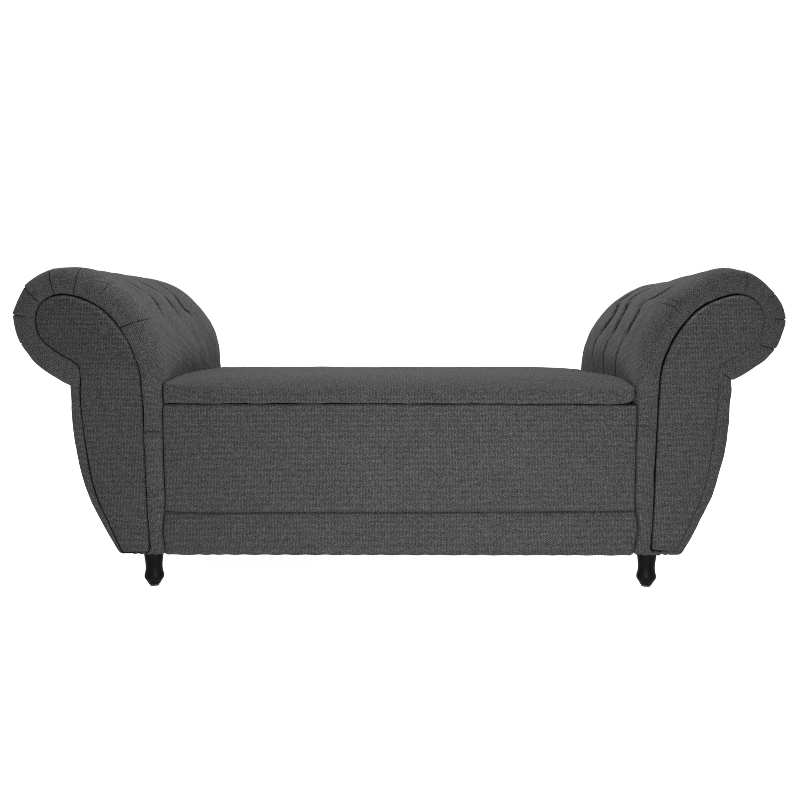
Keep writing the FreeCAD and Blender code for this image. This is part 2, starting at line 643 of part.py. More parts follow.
def frame_bracket(tag):
    plate = box("frame_bracket_plate" + tag, "side_x - ply - 3", "side_x - ply", "pivot_a_y - 14",
                "pivot_a_y + 14", "pivot_a_z - 26", "pivot_a_z + 26")
    pin = cyl("frame_bracket_pin" + tag, "stay_pin_r", "side_x - ply - 1 - (stay_x - 8)", "stay_x - 8",
              "pivot_a_y", "pivot_a_z", "x")
    away = group("frame_bracket_away" + tag, [
        cyl("frame_bracket_hole%s_%d" % (tag, k), "head_r + 0.1", "9", "side_x - ply - 5", "pivot_a_y",
            "pivot_a_z + %d" % (18 * k), "x") for k in (-1, 1)])
    return cut("frame_bracket" + tag, fuse("frame_bracket_blank" + tag, [plate, pin]), away)


def lid_bracket(tag):
    ear = box("lid_bracket_ear" + tag, "stay_x + 10", "stay_x + 13", "pivot_b_y - 14", "pivot_b_y + 14",
              "pivot_b_z - 9", "lid_under")
    flange = box("lid_bracket_flange" + tag, "stay_x - 18", "stay_x + 13", "pivot_b_y - 14",
                 "pivot_b_y + 14", "lid_under - 3", "lid_under")
    pin = cyl("lid_bracket_pin" + tag, "stay_pin_r", "20", "stay_x - 8", "pivot_b_y", "pivot_b_z", "x")
    away = group("lid_bracket_away" + tag, [
        cyl("lid_bracket_hole%s_%d" % (tag, k), "head_r + 0.1", "9", "stay_x - 10",
            "pivot_b_y + %d" % (8 * k), "lid_under - 6") for k in (-1, 1)])
    return cut("lid_bracket" + tag, fuse("lid_bracket_blank" + tag, [ear, flange, pin]), away)


right_fb = frame_bracket("_right")
right_lb = lid_bracket("_right")
node(group("stay_frame_brackets", [right_fb, mirror("frame_bracket_left", right_fb)]))
node(group("stay_lid_brackets", [right_lb, mirror("lid_bracket_left", right_lb)]))
right_fs = group("frame_stay_screws_right", [
    fuse("frame_stay_screw_%d" % i, [
        cyl("frame_stay_screw_head_%d" % i, "head_r", "2.9", "side_x - ply - 2.9", "pivot_a_y",
            "pivot_a_z + %d" % (18 * k), "x"),
        cyl("frame_stay_screw_shank_%d" % i, "screw_r", "13", "side_x - ply - 1", "pivot_a_y",
            "pivot_a_z + %d" % (18 * k), "x")]) for i, k in enumerate((-1, 1))])
node(group("stay_screws_frame", [right_fs, mirror("frame_stay_screws_left", right_fs)]))
right_ls = group("lid_stay_screws_right", [
    fuse("lid_stay_screw_%d" % i, [
        cyl("lid_stay_screw_head_%d" % i, "head_r", "2.9", "stay_x - 10", "pivot_b_y + %d" % (8 * k),
            "lid_under - 2.9"),
        cyl("lid_stay_screw_shank_%d" % i, "screw_r", "13", "stay_x - 10", "pivot_b_y + %d" % (8 * k),
            "lid_under - 1")]) for i, k in enumerate((-1, 1))])
node(group("stay_screws_lid", [right_ls, mirror("lid_stay_screws_left", right_ls)]))

# ------------------------------------------------------------ check and save
doc.recompute()
bad = []
for o in doc.Objects:
    if "Invalid" in o.State or "Error" in o.State:
        bad.append("%s: %s" % (o.Label, ",".join(o.State)))
seen = set()
for o in NODES:
    if o.Label in seen:
        bad.append("label used twice: " + o.Label)
    seen.add(o.Label)
    if o.Shape.isNull() or not o.Shape.isValid() or o.Shape.Volume <= 0 or not o.Shape.Solids:
        bad.append("no sound solid: " + o.Label)
if bad:
    raise RuntimeError("; ".join(bad))
os.makedirs("parts", exist_ok=True)
for o in NODES:
    o.Shape.exportStep("parts/%s.step" % o.Label)
    b = o.Shape.BoundBox
    print("%-26s %2d solids %12.0f mm3  x %8.2f %8.2f  y %8.2f %8.2f  z %8.2f %8.2f" % (
        o.Label, len(o.Shape.Solids), o.Shape.Volume, b.XMin, b.XMax, b.YMin, b.YMax,
        b.ZMin, b.ZMax))
print("%d nodes" % len(NODES))
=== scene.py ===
import bpy
import bmesh
import math
import numpy as np
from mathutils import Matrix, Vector, geometry


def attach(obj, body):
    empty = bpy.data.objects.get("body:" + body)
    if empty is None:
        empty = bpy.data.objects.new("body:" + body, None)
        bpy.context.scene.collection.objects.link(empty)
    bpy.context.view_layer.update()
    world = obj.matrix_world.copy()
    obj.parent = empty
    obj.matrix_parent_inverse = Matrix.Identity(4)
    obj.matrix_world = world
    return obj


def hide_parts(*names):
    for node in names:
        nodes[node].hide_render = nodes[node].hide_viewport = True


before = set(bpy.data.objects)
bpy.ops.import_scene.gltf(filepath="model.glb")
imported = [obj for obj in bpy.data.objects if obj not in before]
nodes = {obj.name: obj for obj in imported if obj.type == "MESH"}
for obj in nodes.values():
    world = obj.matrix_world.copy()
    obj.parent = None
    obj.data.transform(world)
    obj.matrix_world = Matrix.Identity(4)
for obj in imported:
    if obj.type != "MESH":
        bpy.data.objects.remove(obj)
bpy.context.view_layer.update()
scene = bpy.context.scene

# ------------------------------------------------------------------ camera
# the photograph's view: a little above the seat, pitched down
cam_data = bpy.data.cameras.new("camera")
cam_data.sensor_width = 36.0
cam_data.lens = 36.0 * 890.0 / 800.0
cam_data.clip_start = 0.05
cam_data.clip_end = 60.0
cam = bpy.data.objects.new("camera", cam_data)
cam.location = (0.012, -2.131, 0.588)
cam.rotation_euler = (math.radians(90.0 - 5.52), 0.0, math.radians(0.354))
scene.collection.objects.link(cam)
scene.camera = cam

# ------------------------------------------------------- outlines (mm, X Z)
SIDE = 491.5
BASE = 80.0
OUT_UP = [(SIDE, 455.0), (494.5, 505.0), (503.0, 532.0), (518.0, 562.0), (540.0, 596.0),
          (568.0, 628.0), (605.0, 657.0), (648.0, 679.0), (690.0, 686.5)]
OUT_ROLL = [(690.0, 686.5), (768.0, 654.0), (799.5, 575.5), (766.5, 497.5), (736.0, 472.0),
            (691.5, 443.5)]
OUT_DOWN = [(691.5, 443.5), (692.0, 405.0), (690.0, 340.0), (681.5, 280.0), (664.5, 212.0),
            (639.0, 154.0), (611.0, 102.0), (600.0, 84.0)]
FACE = [(529.0, 94.0), (531.6, 169.0), (534.0, 300.0), (537.0, 420.0), (541.6, 475.5),
        (550.0, 503.0), (565.6, 536.0), (581.6, 558.0), (597.5, 577.5), (613.6, 593.5),
        (630.0, 605.5), (652.0, 616.5), (678.0, 625.0), (701.0, 628.5), (720.0, 624.0),
        (736.0, 613.0), (746.0, 598.0), (750.0, 578.0), (748.6, 555.0), (739.5, 534.0),
        (722.0, 515.0), (703.0, 501.0), (682.0, 489.5), (668.5, 477.0), (664.5, 459.0),
        (665.5, 419.0), (664.0, 375.0), (660.0, 333.0), (655.0, 291.0), (647.0, 238.0),
        (633.0, 190.0), (614.5, 150.0), (597.5, 114.0), (583.0, 87.0)]


def unit(v):
    return v / np.linalg.norm(v)


def tangents(pts, first=None, last=None):
    p = np.array(pts, float)
    out = np.zeros_like(p)
    for i in range(1, len(p) - 1):
        a, b = p[i] - p[i - 1], p[i + 1] - p[i]
        la, lb = np.linalg.norm(a), np.linalg.norm(b)
        out[i] = unit(a * lb / la + b * la / lb)

    def reflect(d, t):
        return 2 * np.dot(d, t) * d - t

    out[0] = unit(np.array(first, float)) if first else (
        reflect(unit(p[1] - p[0]), out[1]) if len(p) > 2 else unit(p[1] - p[0]))
    out[-1] = unit(np.array(last, float)) if last else (
        reflect(unit(p[-1] - p[-2]), out[-2]) if len(p) > 2 else unit(p[-1] - p[-2]))
    return p, out


def smooth(pts, first=None, last=None, n=24):
    """Smooth curve through the points, as many short chords."""
    p, t = tangents(pts, first, last)
    out = []
    for i in range(len(p) - 1):
        k = np.linalg.norm(p[i + 1] - p[i])
        u = np.linspace(0, 1, n, endpoint=False)[:, None]
        out.append((2 * u ** 3 - 3 * u ** 2 + 1) * p[i] + (u ** 3 - 2 * u ** 2 + u) * t[i] * k
                   + (3 * u ** 2 - 2 * u ** 3) * p[i + 1] + (u ** 3 - u ** 2) * t[i + 1] * k)
    out.append(p[-1][None])
    return np.concatenate(out)


def corner(a, b, c, n=8):
    """Rounded corner from a to c, with its point at b."""
    u = np.linspace(0, 1, n)[:, None]
    a, b, c = np.array(a, float), np.array(b, float), np.array(c, float)
    return (1 - u) ** 2 * a + 2 * u * (1 - u) * b + u ** 2 * c


def chain(*runs):
    out = [np.array(runs[0], float)]
    for r in runs[1:]:
        r = np.array(r, float)
        if np.linalg.norm(r[0] - out[-1][-1]) < 1e-6:
            r = r[1:]
        out.append(r)
    return np.concatenate(out)


def lengths(poly):
    return np.concatenate([[0], np.cumsum(np.linalg.norm(np.diff(poly, axis=0), axis=1))])


def resample(poly, step=None, count=None):
    s = lengths(poly)
    n = count if count else max(2, int(round(s[-1] / step)))
    u = np.linspace(0, s[-1], n + 1)
    return np.stack([np.interp(u, s, poly[:, k]) for k in range(poly.shape[1])], 1)


def at(poly, s_all, where):
    """Length along the polyline of the point nearest to where."""
    d = np.linalg.norm(poly - np.array(where, float), axis=1)
    return s_all[int(np.argmin(d))]


def ripple(seed, count, low, high):
    """A smooth repeatable field of two coordinates, about -1 to 1."""
    rng = np.random.default_rng(seed)
    ang = rng.uniform(0, 2 * math.pi, count)
    freq = 2 * math.pi / np.exp(rng.uniform(math.log(low), math.log(high), count))
    ph = rng.uniform(0, 2 * math.pi, count)
    amp = rng.uniform(0.5, 1.0, count)
    amp /= math.sqrt((amp ** 2).sum() / 2) * 1.6

    def field(a, b):
        out = 0.0
        for k in range(count):
            out = out + amp[k] * np.sin(freq[k] * (math.cos(ang[k]) * a + math.sin(ang[k]) * b) + ph[k])
        return out
    return field


def step(x):
    x = np.clip(x, 0.0, 1.0)
    return x * x * (3 - 2 * x)


# ------------------------------------------------------------------- meshes
def make(name, verts_mm, faces, uv_mm=None, material=None, painted_shade_and_highlight=None):
    """Mesh object from millimetres. uv_mm is one pair for each vertex; the last argument is the painted shade of each
    vertex, darker where above zero and a painted highlight where below zero.
    """
    me = bpy.data.meshes.new(name)
    v = np.asarray(verts_mm, float) * 0.001
    me.from_pydata(v.tolist(), [], faces if isinstance(faces, list) else faces.tolist())
    if uv_mm is not None:
        layer = me.uv_layers.new(name="cloth")
        idx = np.zeros(len(me.loops), int)
        me.loops.foreach_get("vertex_index", idx)
        layer.data.foreach_set("uv", (np.asarray(uv_mm, float) * 0.001)[idx].ravel())
    if painted_shade_and_highlight is not None:
        at_ = me.attributes.new("painted_shade_and_highlight", "FLOAT", "POINT")
        at_.data.foreach_set("value", np.asarray(painted_shade_and_highlight, np.float32).ravel())
    me.polygons.foreach_set("use_smooth", np.ones(len(me.polygons), bool))
    me.update()
    ob = bpy.data.objects.new(name, me)
    scene.collection.objects.link(ob)
    if material:
        me.materials.append(material)
    return ob


def grid_faces(rows, cols, wrap=False, flip=False):
    """Quads of a grid stored row after row; wrap joins the last column to the first."""
    r = np.arange(rows - 1)[:, None]
    c = np.arange(cols if wrap else cols - 1)[None]
    d = (c + 1) % cols
    a, b = r * cols + c, r * cols + d
    e, f = (r + 1) * cols + d, (r + 1) * cols + c
    q = np.stack([a, b, e, f], -1).reshape(-1, 4)
    return q[:, ::-1] if flip else q


def only(ob):
    for o in bpy.context.selected_objects:
        o.select_set(False)
    ob.select_set(True)
    bpy.context.view_layer.objects.active = ob


def coords(ob):
    co = np.zeros(len(ob.data.vertices) * 3)
    ob.data.vertices.foreach_get("co", co)
    return co.reshape(-1, 3)


def set_coords(ob, co):
    ob.data.vertices.foreach_set("co", np.asarray(co, float).ravel())
    ob.data.update()


def inflate(ob, pressure, pinned, frames=20, cap=0.01, tension=12.0, bending=0.6, shrink=0.0,
            mass=0.3):
    """Blow a closed or pinned piece up as cloth, keep the result and cap how far it moved."""
    start = coords(ob)
    group = ob.vertex_groups.new(name="held")
    for w in np.unique(pinned):
        if w > 0:
            group.add(np.nonzero(pinned == w)[0].tolist(), float(w), "REPLACE")
    mod = ob.modifiers.new("cloth", "CLOTH")
    s = mod.settings
    s.quality = 6
    s.mass = mass
    s.tension_stiffness = tension
    s.compression_stiffness = tension
    s.shear_stiffness = tension * 0.4
    s.bending_stiffness = bending
    s.tension_damping = 10
    s.compression_damping = 10
    s.shear_damping = 10
    s.air_damping = 3
    s.vertex_group_mass = "held"
    s.pin_stiffness = 1.0
    s.use_pressure = True
    s.uniform_pressure_force = pressure
    s.shrink_min = shrink
    s.effector_weights.gravity = 0
    mod.collision_settings.use_collision = False
    mod.point_cache.frame_start = 1
    mod.point_cache.frame_end = frames
    for f in range(1, frames + 1):
        scene.frame_set(f)
    dg = bpy.context.evaluated_depsgraph_get()
    e = ob.evaluated_get(dg)
    co = np.zeros(len(e.data.vertices) * 3)
    e.data.vertices.foreach_get("co", co)
    co = co.reshape(-1, 3)
    ob.modifiers.remove(mod)
    ob.vertex_groups.remove(group)
    scene.frame_set(1)
    move = co - start
    far = np.linalg.norm(move, axis=1, keepdims=True)
    move *= np.minimum(1.0, cap / np.maximum(far, 1e-9))
    move[~np.isfinite(move).all(1)] = 0
    set_coords(ob, start + move)
    return start


# ---------------------------------------------------------------- materials
def node_tools(name):
    m = bpy.data.materials.new(name)
    m.use_nodes = True
    nt = m.node_tree
    nt.nodes.clear()
    out = nt.nodes.new("ShaderNodeOutputMaterial")
    bs = nt.nodes.new("ShaderNodeBsdfPrincipled")
    nt.links.new(bs.outputs[0], out.inputs[0])

    def new(kind, **props):
        n = nt.nodes.new(kind)
        for k, v in props.items():
            setattr(n, k, v)
        return n

    def join(a, b):
        nt.links.new(a, b)

    def math_(op, a, b=None, c=None):
        n = new("ShaderNodeMath", operation=op)
        for i, v in enumerate((a, b, c)):
            if v is None:
                continue
            if isinstance(v, (int, float)):
                n.inputs[i].default_value = v
            else:
                join(v, n.inputs[i])
        return n.outputs[0]

    def noise_(vec, scale, detail=2.0, rough=0.5):
        n = new("ShaderNodeTexNoise")
        n.inputs["Scale"].default_value = scale
        n.inputs["Detail"].default_value = detail
        n.inputs["Roughness"].default_value = rough
        join(vec, n.inputs["Vector"])
        return n.outputs["Fac"]

    def mapping(vec, scale, loc=(0, 0, 0), rot=(0, 0, 0)):
        n = new("ShaderNodeMapping")
        n.inputs["Scale"].default_value = scale
        n.inputs["Location"].default_value = loc
        n.inputs["Rotation"].default_value = rot
        join(vec, n.inputs["Vector"])
        return n.outputs[0]

    def ramp(fac, stops):
        n = new("ShaderNodeValToRGB")
        el = n.color_ramp.elements
        while len(el) < len(stops):
            el.new(0.5)
        for e, (pos, col) in zip(el, stops):
            e.position = pos
            e.color = (*col, 1)
        join(fac, n.inputs[0])
        return n.outputs[0]

    def bump(height, strength, distance, normal=None):
        n = new("ShaderNodeBump")
        n.inputs["Strength"].default_value = strength
        n.inputs["Distance"].default_value = distance
        join(height, n.inputs["Height"])
        if normal is not None:
            join(normal, n.inputs["Normal"])
        return n.outputs[0]

    return dict(m=m, nt=nt, bs=bs, new=new, join=join, math=math_, noise=noise_,
                mapping=mapping, ramp=ramp, bump=bump)


def srgb(v):
    """sRGB 0-255 grey or triple to linear."""
    v = np.atleast_1d(np.array(v, float)) / 255.0
    lin = np.where(v <= 0.04045, v / 12.92, ((v + 0.055) / 1.055) ** 2.4)
    return tuple(lin) if len(lin) == 3 else (lin[0],) * 3


def linen(name, dark, mid, light, pitch_u=0.00312, pitch_v=0.00260):
    """Coarse plain-woven slub cloth in the piece's own cloth coordinates, in metres."""
    k = node_tools(name)
    M = k["math"]
    uv = k["new"]("ShaderNodeUVMap", uv_map="cloth").outputs[0]
    # yarns do not run dead straight
    bend = k["new"]("ShaderNodeTexNoise", noise_dimensions="2D")
    bend.inputs["Scale"].default_value = 30.0
    bend.inputs["Detail"].default_value = 1.0
    k["join"](uv, bend.inputs["Vector"])
    sep = k["new"]("ShaderNodeSeparateXYZ")
    k["join"](uv, sep.inputs[0])
    bs = k["new"]("ShaderNodeSeparateXYZ")
    k["join"](bend.outputs["Color"], bs.inputs[0])
    u = M("ADD", M("MULTIPLY", sep.outputs[0], 1.0 / pitch_u), M("MULTIPLY", bs.outputs[0], 0.6))
    v = M("ADD", M("MULTIPLY", sep.outputs[1], 1.0 / pitch_v), M("MULTIPLY", bs.outputs[1], 0.6))
    iu, iv = M("FLOOR", u), M("FLOOR", v)
    fu, fv = M("FRACT", u), M("FRACT", v)

    def pair(a, b):
        c = k["new"]("ShaderNodeCombineXYZ")
        k["join"](a, c.inputs[0])
        k["join"](b, c.inputs[1])
        return c.outputs[0]

    def noise2(vec, detail=1.0):
        n = k["new"]("ShaderNodeTexNoise", noise_dimensions="2D")
        n.inputs["Scale"].default_value = 1.0
        n.inputs["Detail"].default_value = detail
        n.inputs["Roughness"].default_value = 0.6
        k["join"](vec, n.inputs["Vector"])
        return n.outputs["Fac"]

    def white(vec):
        n = k["new"]("ShaderNodeTexWhiteNoise", noise_dimensions="2D")
        k["join"](vec, n.inputs["Vector"])
        return n.outputs["Value"]
    # thick and thin places along each yarn
    warp = noise2(pair(M("MULTIPLY", iu, 3.71), M("MULTIPLY", v, 0.10)))
    weft = noise2(pair(M("MULTIPLY", u, 0.10), M("MULTIPLY", iv, 3.71)))
    odd = M("ABSOLUTE", M("MODULO", M("ADD", iu, iv), 2.0))
    even = M("SUBTRACT", 1.0, odd)
    cell = white(pair(M("FLOOR", M("MULTIPLY", u, 1.75)), M("FLOOR", M("MULTIPLY", v, 1.5))))
    # single fibres inside a yarn
    fu4, fv4 = M("MULTIPLY", u, 5.0), M("MULTIPLY", v, 5.0)
    fib_a = noise2(pair(fu4, M("MULTIPLY", v, 0.8)))
    fib_b = noise2(pair(M("MULTIPLY", u, 0.8), fv4))
    fibre = M("ADD", M("MULTIPLY", fib_a, odd), M("MULTIPLY", fib_b, even))
    on_top = M("ADD", M("MULTIPLY", warp, odd), M("MULTIPLY", weft, even))
    patch = noise2(pair(M("MULTIPLY", u, 0.03), M("MULTIPLY", v, 0.03)), 2.0)
    tone = M("ADD", M("MULTIPLY", on_top, 0.05), M("MULTIPLY", cell, 0.20))
    tone = M("ADD", tone, M("MULTIPLY", fibre, 0.26))
    tone = M("ADD", tone, M("MULTIPLY", odd, 0.08))
    tone = M("ADD", tone, M("MULTIPLY", warp, 0.03))
    tone = M("ADD", tone, M("MULTIPLY", weft, 0.04))
    tone = M("ADD", tone, 0.092)
    tone = M("ADD", tone, M("MULTIPLY", M("SUBTRACT", patch, 0.5), 0.025))
    # each crossing is a small pillow with a dark gap round it
    pu = M("SINE", M("MULTIPLY", fu, math.pi))
    pv = M("SINE", M("MULTIPLY", fv, math.pi))
    pillow = M("POWER", M("MULTIPLY", pu, pv), 0.5)
    tone = M("ADD", tone, M("MULTIPLY", M("SUBTRACT", pillow, 0.72), 0.20))
    colour = k["ramp"](tone, [(0.22, dark), (0.42, mid), (0.62, light)])
    # painted shade and painted highlight per vertex: the colour is painted darker in deep folds and seams, where little
    # light comes back out, and paler where the value is below zero; specular and sheen fade with the painted shade
    painted_shading = k["new"]("ShaderNodeAttribute", attribute_name="painted_shade_and_highlight").outputs["Fac"]
    painted_shade_scale = k["new"]("ShaderNodeVectorMath", operation="SCALE")
    k["join"](colour, painted_shade_scale.inputs[0])
    k["join"](M("SUBTRACT", 1.0, M("MULTIPLY", painted_shading, 0.88)), painted_shade_scale.inputs["Scale"])
    k["join"](painted_shade_scale.outputs[0], k["bs"].inputs["Base Color"])
    k["bs"].inputs["Roughness"].default_value = 0.95
    shine_after_painted_shade = M("MINIMUM", M("MAXIMUM", M("SUBTRACT", 1.0, painted_shading), 0.0), 1.0)
    k["join"](M("MULTIPLY", shine_after_painted_shade, 0.12), k["bs"].inputs["Specular IOR Level"])
    k["join"](M("MULTIPLY", shine_after_painted_shade, 0.03), k["bs"].inputs["Sheen Weight"])
    k["bs"].inputs["Sheen Roughness"].default_value = 0.5
    height = M("ADD", M("MULTIPLY", pillow, 0.8), M("MULTIPLY", fibre, 0.35))
    k["join"](k["bump"](height, 0.5, 0.0008), k["bs"].inputs["Normal"])
    return k["m"]


def wood(name, dark, light, grain_axis, rough, ring=26.0, bump=0.15):
    """Wood grain along one axis of the part, in object coordinates."""
    k = node_tools(name)
    obj = k["new"]("ShaderNodeTexCoord").outputs["Object"]
    sc = [ring, ring, ring]
    sc[grain_axis] = ring * 0.05
    fine = [420.0, 420.0, 420.0]
    fine[grain_axis] = 9.0
    g = k["noise"](k["mapping"](obj, sc), 1.0, 5.0, 0.6)
    w = k["new"]("ShaderNodeTexWave", wave_type="RINGS")
    w.inputs["Scale"].default_value = 0.8
    w.inputs["Distortion"].default_value = 9.0
    w.inputs["Detail"].default_value = 3.0
    k["join"](k["mapping"](obj, sc), w.inputs["Vector"])
    f = k["noise"](k["mapping"](obj, fine), 1.0, 2.0, 0.6)
    v = k["math"]("ADD", k["math"]("MULTIPLY", g, 0.45), k["math"]("MULTIPLY", w.outputs["Fac"], 0.25))
    v = k["math"]("ADD", v, k["math"]("MULTIPLY", f, 0.3))
    k["join"](k["ramp"](v, [(0.25, dark), (0.75, light)]), k["bs"].inputs["Base Color"])
    r = k["math"]("ADD", k["math"]("MULTIPLY", f, 0.2), rough - 0.1)
    k["join"](r, k["bs"].inputs["Roughness"])
    k["join"](k["bump"](f, bump, 0.0006), k["bs"].inputs["Normal"])
    return k["m"]


def metal(name, colour, rough, metallic=1.0, scratch=0.12):
    k = node_tools(name)
    obj = k["new"]("ShaderNodeTexCoord").outputs["Object"]
    n1 = k["noise"](k["mapping"](obj, (60.0, 900.0, 900.0)), 1.0, 3.0, 0.6)
    n2 = k["noise"](k["mapping"](obj, (35.0, 35.0, 35.0)), 1.0, 3.0, 0.6)
    v = k["math"]("ADD", k["math"]("MULTIPLY", n1, 0.5), k["math"]("MULTIPLY", n2, 0.5))
    lo = tuple(c * 0.82 for c in colour)
    hi = tuple(min(1.0, c * 1.12) for c in colour)
    k["join"](k["ramp"](v, [(0.3, lo), (0.7, hi)]), k["bs"].inputs["Base Color"])
    k["bs"].inputs["Metallic"].default_value = metallic
    k["join"](k["math"]("ADD", k["math"]("MULTIPLY", v, scratch * 2), rough - scratch),
              k["bs"].inputs["Roughness"])
    k["join"](k["bump"](n1, 0.08, 0.0003), k["bs"].inputs["Normal"])
    return k["m"]


def plain_soft(name, dark, light, rough, scale=600.0, bump=0.25):
    """Rubber, plastic and non-woven cloth: fine mottled grain."""
    k = node_tools(name)
    obj = k["new"]("ShaderNodeTexCoord").outputs["Object"]
    n = k["noise"](k["mapping"](obj, (scale,) * 3), 1.0, 3.0, 0.6)
    p = k["noise"](k["mapping"](obj, (22.0,) * 3), 1.0, 3.0, 0.6)
    v = k["math"]("ADD", k["math"]("MULTIPLY", n, 0.6), k["math"]("MULTIPLY", p, 0.4))
    k["join"](k["ramp"](v, [(0.3, dark), (0.7, light)]), k["bs"].inputs["Base Color"])
    k["bs"].inputs["Roughness"].default_value = rough
    k["join"](k["bump"](n, bump, 0.0008), k["bs"].inputs["Normal"])
    return k["m"]


CLOTH = linen("charcoal_linen", srgb(17.5), srgb(44.2), srgb(71))
PLY_X = wood("plywood_long", (0.24, 0.15, 0.078), (0.44, 0.31, 0.19), 0, 0.62)
PLY_Y = wood("plywood_cross", (0.24, 0.15, 0.078), (0.44, 0.31, 0.19), 1, 0.62)
PLY_Z = wood("plywood_up", (0.24, 0.15, 0.078), (0.44, 0.31, 0.19), 2, 0.62)
PINE_X = wood("sawn_long", (0.29, 0.18, 0.088), (0.50, 0.36, 0.21), 0, 0.7, 40.0, 0.3)
PINE_Y = wood("sawn_cross", (0.29, 0.18, 0.088), (0.50, 0.36, 0.21), 1, 0.7, 40.0, 0.3)
PINE_Z = wood("sawn_up", (0.29, 0.18, 0.088), (0.50, 0.36, 0.21), 2, 0.7, 40.0, 0.3)
LEG = wood("dark_stained_wood", (0.0011, 0.0008, 0.0006), (0.0036, 0.0027, 0.0021), 2, 0.5, 60.0, 0.1)
LEG.node_tree.nodes["Principled BSDF"].inputs["Specular IOR Level"].default_value = 0.05
ZINC = metal("zinc_steel", (0.36, 0.36, 0.38), 0.42)
BRIGHT = metal("polished_steel", (0.50, 0.50, 0.52), 0.18, 1.0, 0.05)
BLACK = metal("black_stay_paint", (0.014, 0.014, 0.015), 0.36, 0.0, 0.08)
DUST = plain_soft("black_dust_cloth", (0.010, 0.010, 0.010), (0.030, 0.030, 0.031), 0.95, 900.0, 0.5)
GLIDE = plain_soft("glide_plastic", (0.015, 0.015, 0.015), (0.03, 0.03, 0.03), 0.5)
RUBBER = plain_soft("bumper_rubber", (0.012, 0.012, 0.012), (0.03, 0.03, 0.03), 0.75)


def paint(material, *names):
    for n in names:
        ob = nodes[n]
        ob.data.materials.clear()
        ob.data.materials.append(material)


for s in ("left_", "right_"):
    paint(PLY_Z, s + "arm_front_profile", s + "arm_rear_profile", s + "arm_inner_board",
          s + "arm_outer_panel")
    paint(PINE_Y, s + "arm_bottom_rail", s + "arm_battens")
    paint(PLY_Y, s + "side_board")
    paint(BLACK, s + "stay_cylinder")
    paint(BRIGHT, s + "stay_rod")
paint(PLY_X, "front_board", "back_board", "bottom_board", "lid_board")
paint(PINE_X, "base_front_rail", "box_top_rails")
paint(PINE_Y, "base_rails", "lid_battens")
paint(PINE_Z, "box_corner_battens")
paint(DUST, "dust_cover")
paint(GLIDE, "leg_glides")
paint(RUBBER, "lid_bumpers")
paint(ZINC, "leg_studs", "leg_inserts", "arm_bolts", "arm_bolt_nuts", "hinge_fixed_leaves",
      "hinge_moving_leaves", "hinge_pins", "hinge_screws_frame", "hinge_screws_lid",
      "stay_frame_brackets", "stay_lid_brackets", "stay_screws_frame", "stay_screws_lid")

# where the arms meet the front of the box, mm from the middle at each height: the
# plinth swells against the arms
JOINT = {1: ([60, 84, 100, 118, 135, 152, 169, 187, 221, 255, 289, 323, 357, 395, 440],
             [500.4, 501.4, 504.0, 507.0, 508.4, 506.8, 502.8, 500.4, 499.8, 500.4, 499.6, 499.4, 500.2, 499.4, 499.2]),
         -1: ([60, 81, 99, 116, 133, 151, 168, 185, 203, 254, 288, 322, 380, 400, 440],
              [503.2, 504.2, 505.2, 507.0, 507.6, 505.8, 502.4, 500.4, 500.2, 501.0, 501.2, 500.8, 501.0, 499.6,
               499.2])}
# heights along the front, mm off the straight line: the seam above the plinth, the
# lower edge of the lid and the upper edge of the front panel
SEAM_DZ = ([-497, -479, -445, -423, -338, -253, 2, 256, 425, 484, 497],
           [0.8, -2.2, -3.7, -4.5, -4.4, -3.0, -2.2, -1.4, -0.1, 1.5, 2.8])
LID_DZ = ([-495, -473, -334, -82, 2, 337, 380, 420, 455, 470, 490], [-0.4, -0.4, 0, 0.8, 0, 0, -0.8, -1.7, -1.9, -1.4, -1.0])
PANEL_DZ = ([-495, -473, -334, -82, 2, 337, 380, 420, 462, 480, 497], [-0.4, -0.4, 0, 0.8, 0, 0, -0.5, -0.9, -1.0, -0.9, -0.7])


def joint(side, z):
    fine_z = np.arange(0.0, 520.0, 2.0)
    w = np.hanning(11)
    line = np.convolve(np.interp(np.arange(-10.0, 530.0, 2.0), *JOINT[side]), w / w.sum(), "same")[5:-5]
    return np.interp(z, fine_z, line)


# --------------------------------------------------------------------- arms
def eased(p):
    """Stuffing pushes the inner edge and the scroll out a few millimetres."""
    p = np.array(p, float)
    x, z = p[..., 0], p[..., 1]
    inner = 5.2 * (1 - step((x - 548.0) / 100.0)) * (1 - step((z - 500.0) / 130.0))
    scroll = 4.0 * step((x - 690.0) / 80.0) * step((z - 440.0) / 60.0)
    out = p.copy()
    out[..., 0] = x + inner + scroll
    return out


run_a = chain([(545.0, 77.4), (497.0, 77.4)], corner((497.0, 77.4), (SIDE, 77.4), (SIDE, 83.0)))
run_b = chain([(SIDE, 83.0), (SIDE, 455.0)], smooth(OUT_UP, (0, 1), (1, 0)),
              smooth(OUT_ROLL, (1, 0)))
run_c = smooth(OUT_DOWN, (0, -1))
run_d = chain(corner(OUT_DOWN[-1], (595.5, 77.4), (588.0, 77.4)), [(588.0, 77.4), (545.0, 77.4)])
RAW = chain(resample(run_a, 0.5), resample(run_b, 0.5), resample(run_c, 0.5), resample(run_d, 0.5))
RAW_S = lengths(RAW)
OUT_L = RAW_S[-1]
OUT = eased(RAW)
FACE_RAW = resample(chain([(556.0, 87.0), (536.5, 87.0)],
                          corner((536.5, 87.0), (529.0, 87.0), (529.0, 94.0)),
                          smooth(FACE), [(583.0, 87.0), (556.0, 87.0)]), 0.7)
FACE_S = lengths(FACE_RAW)
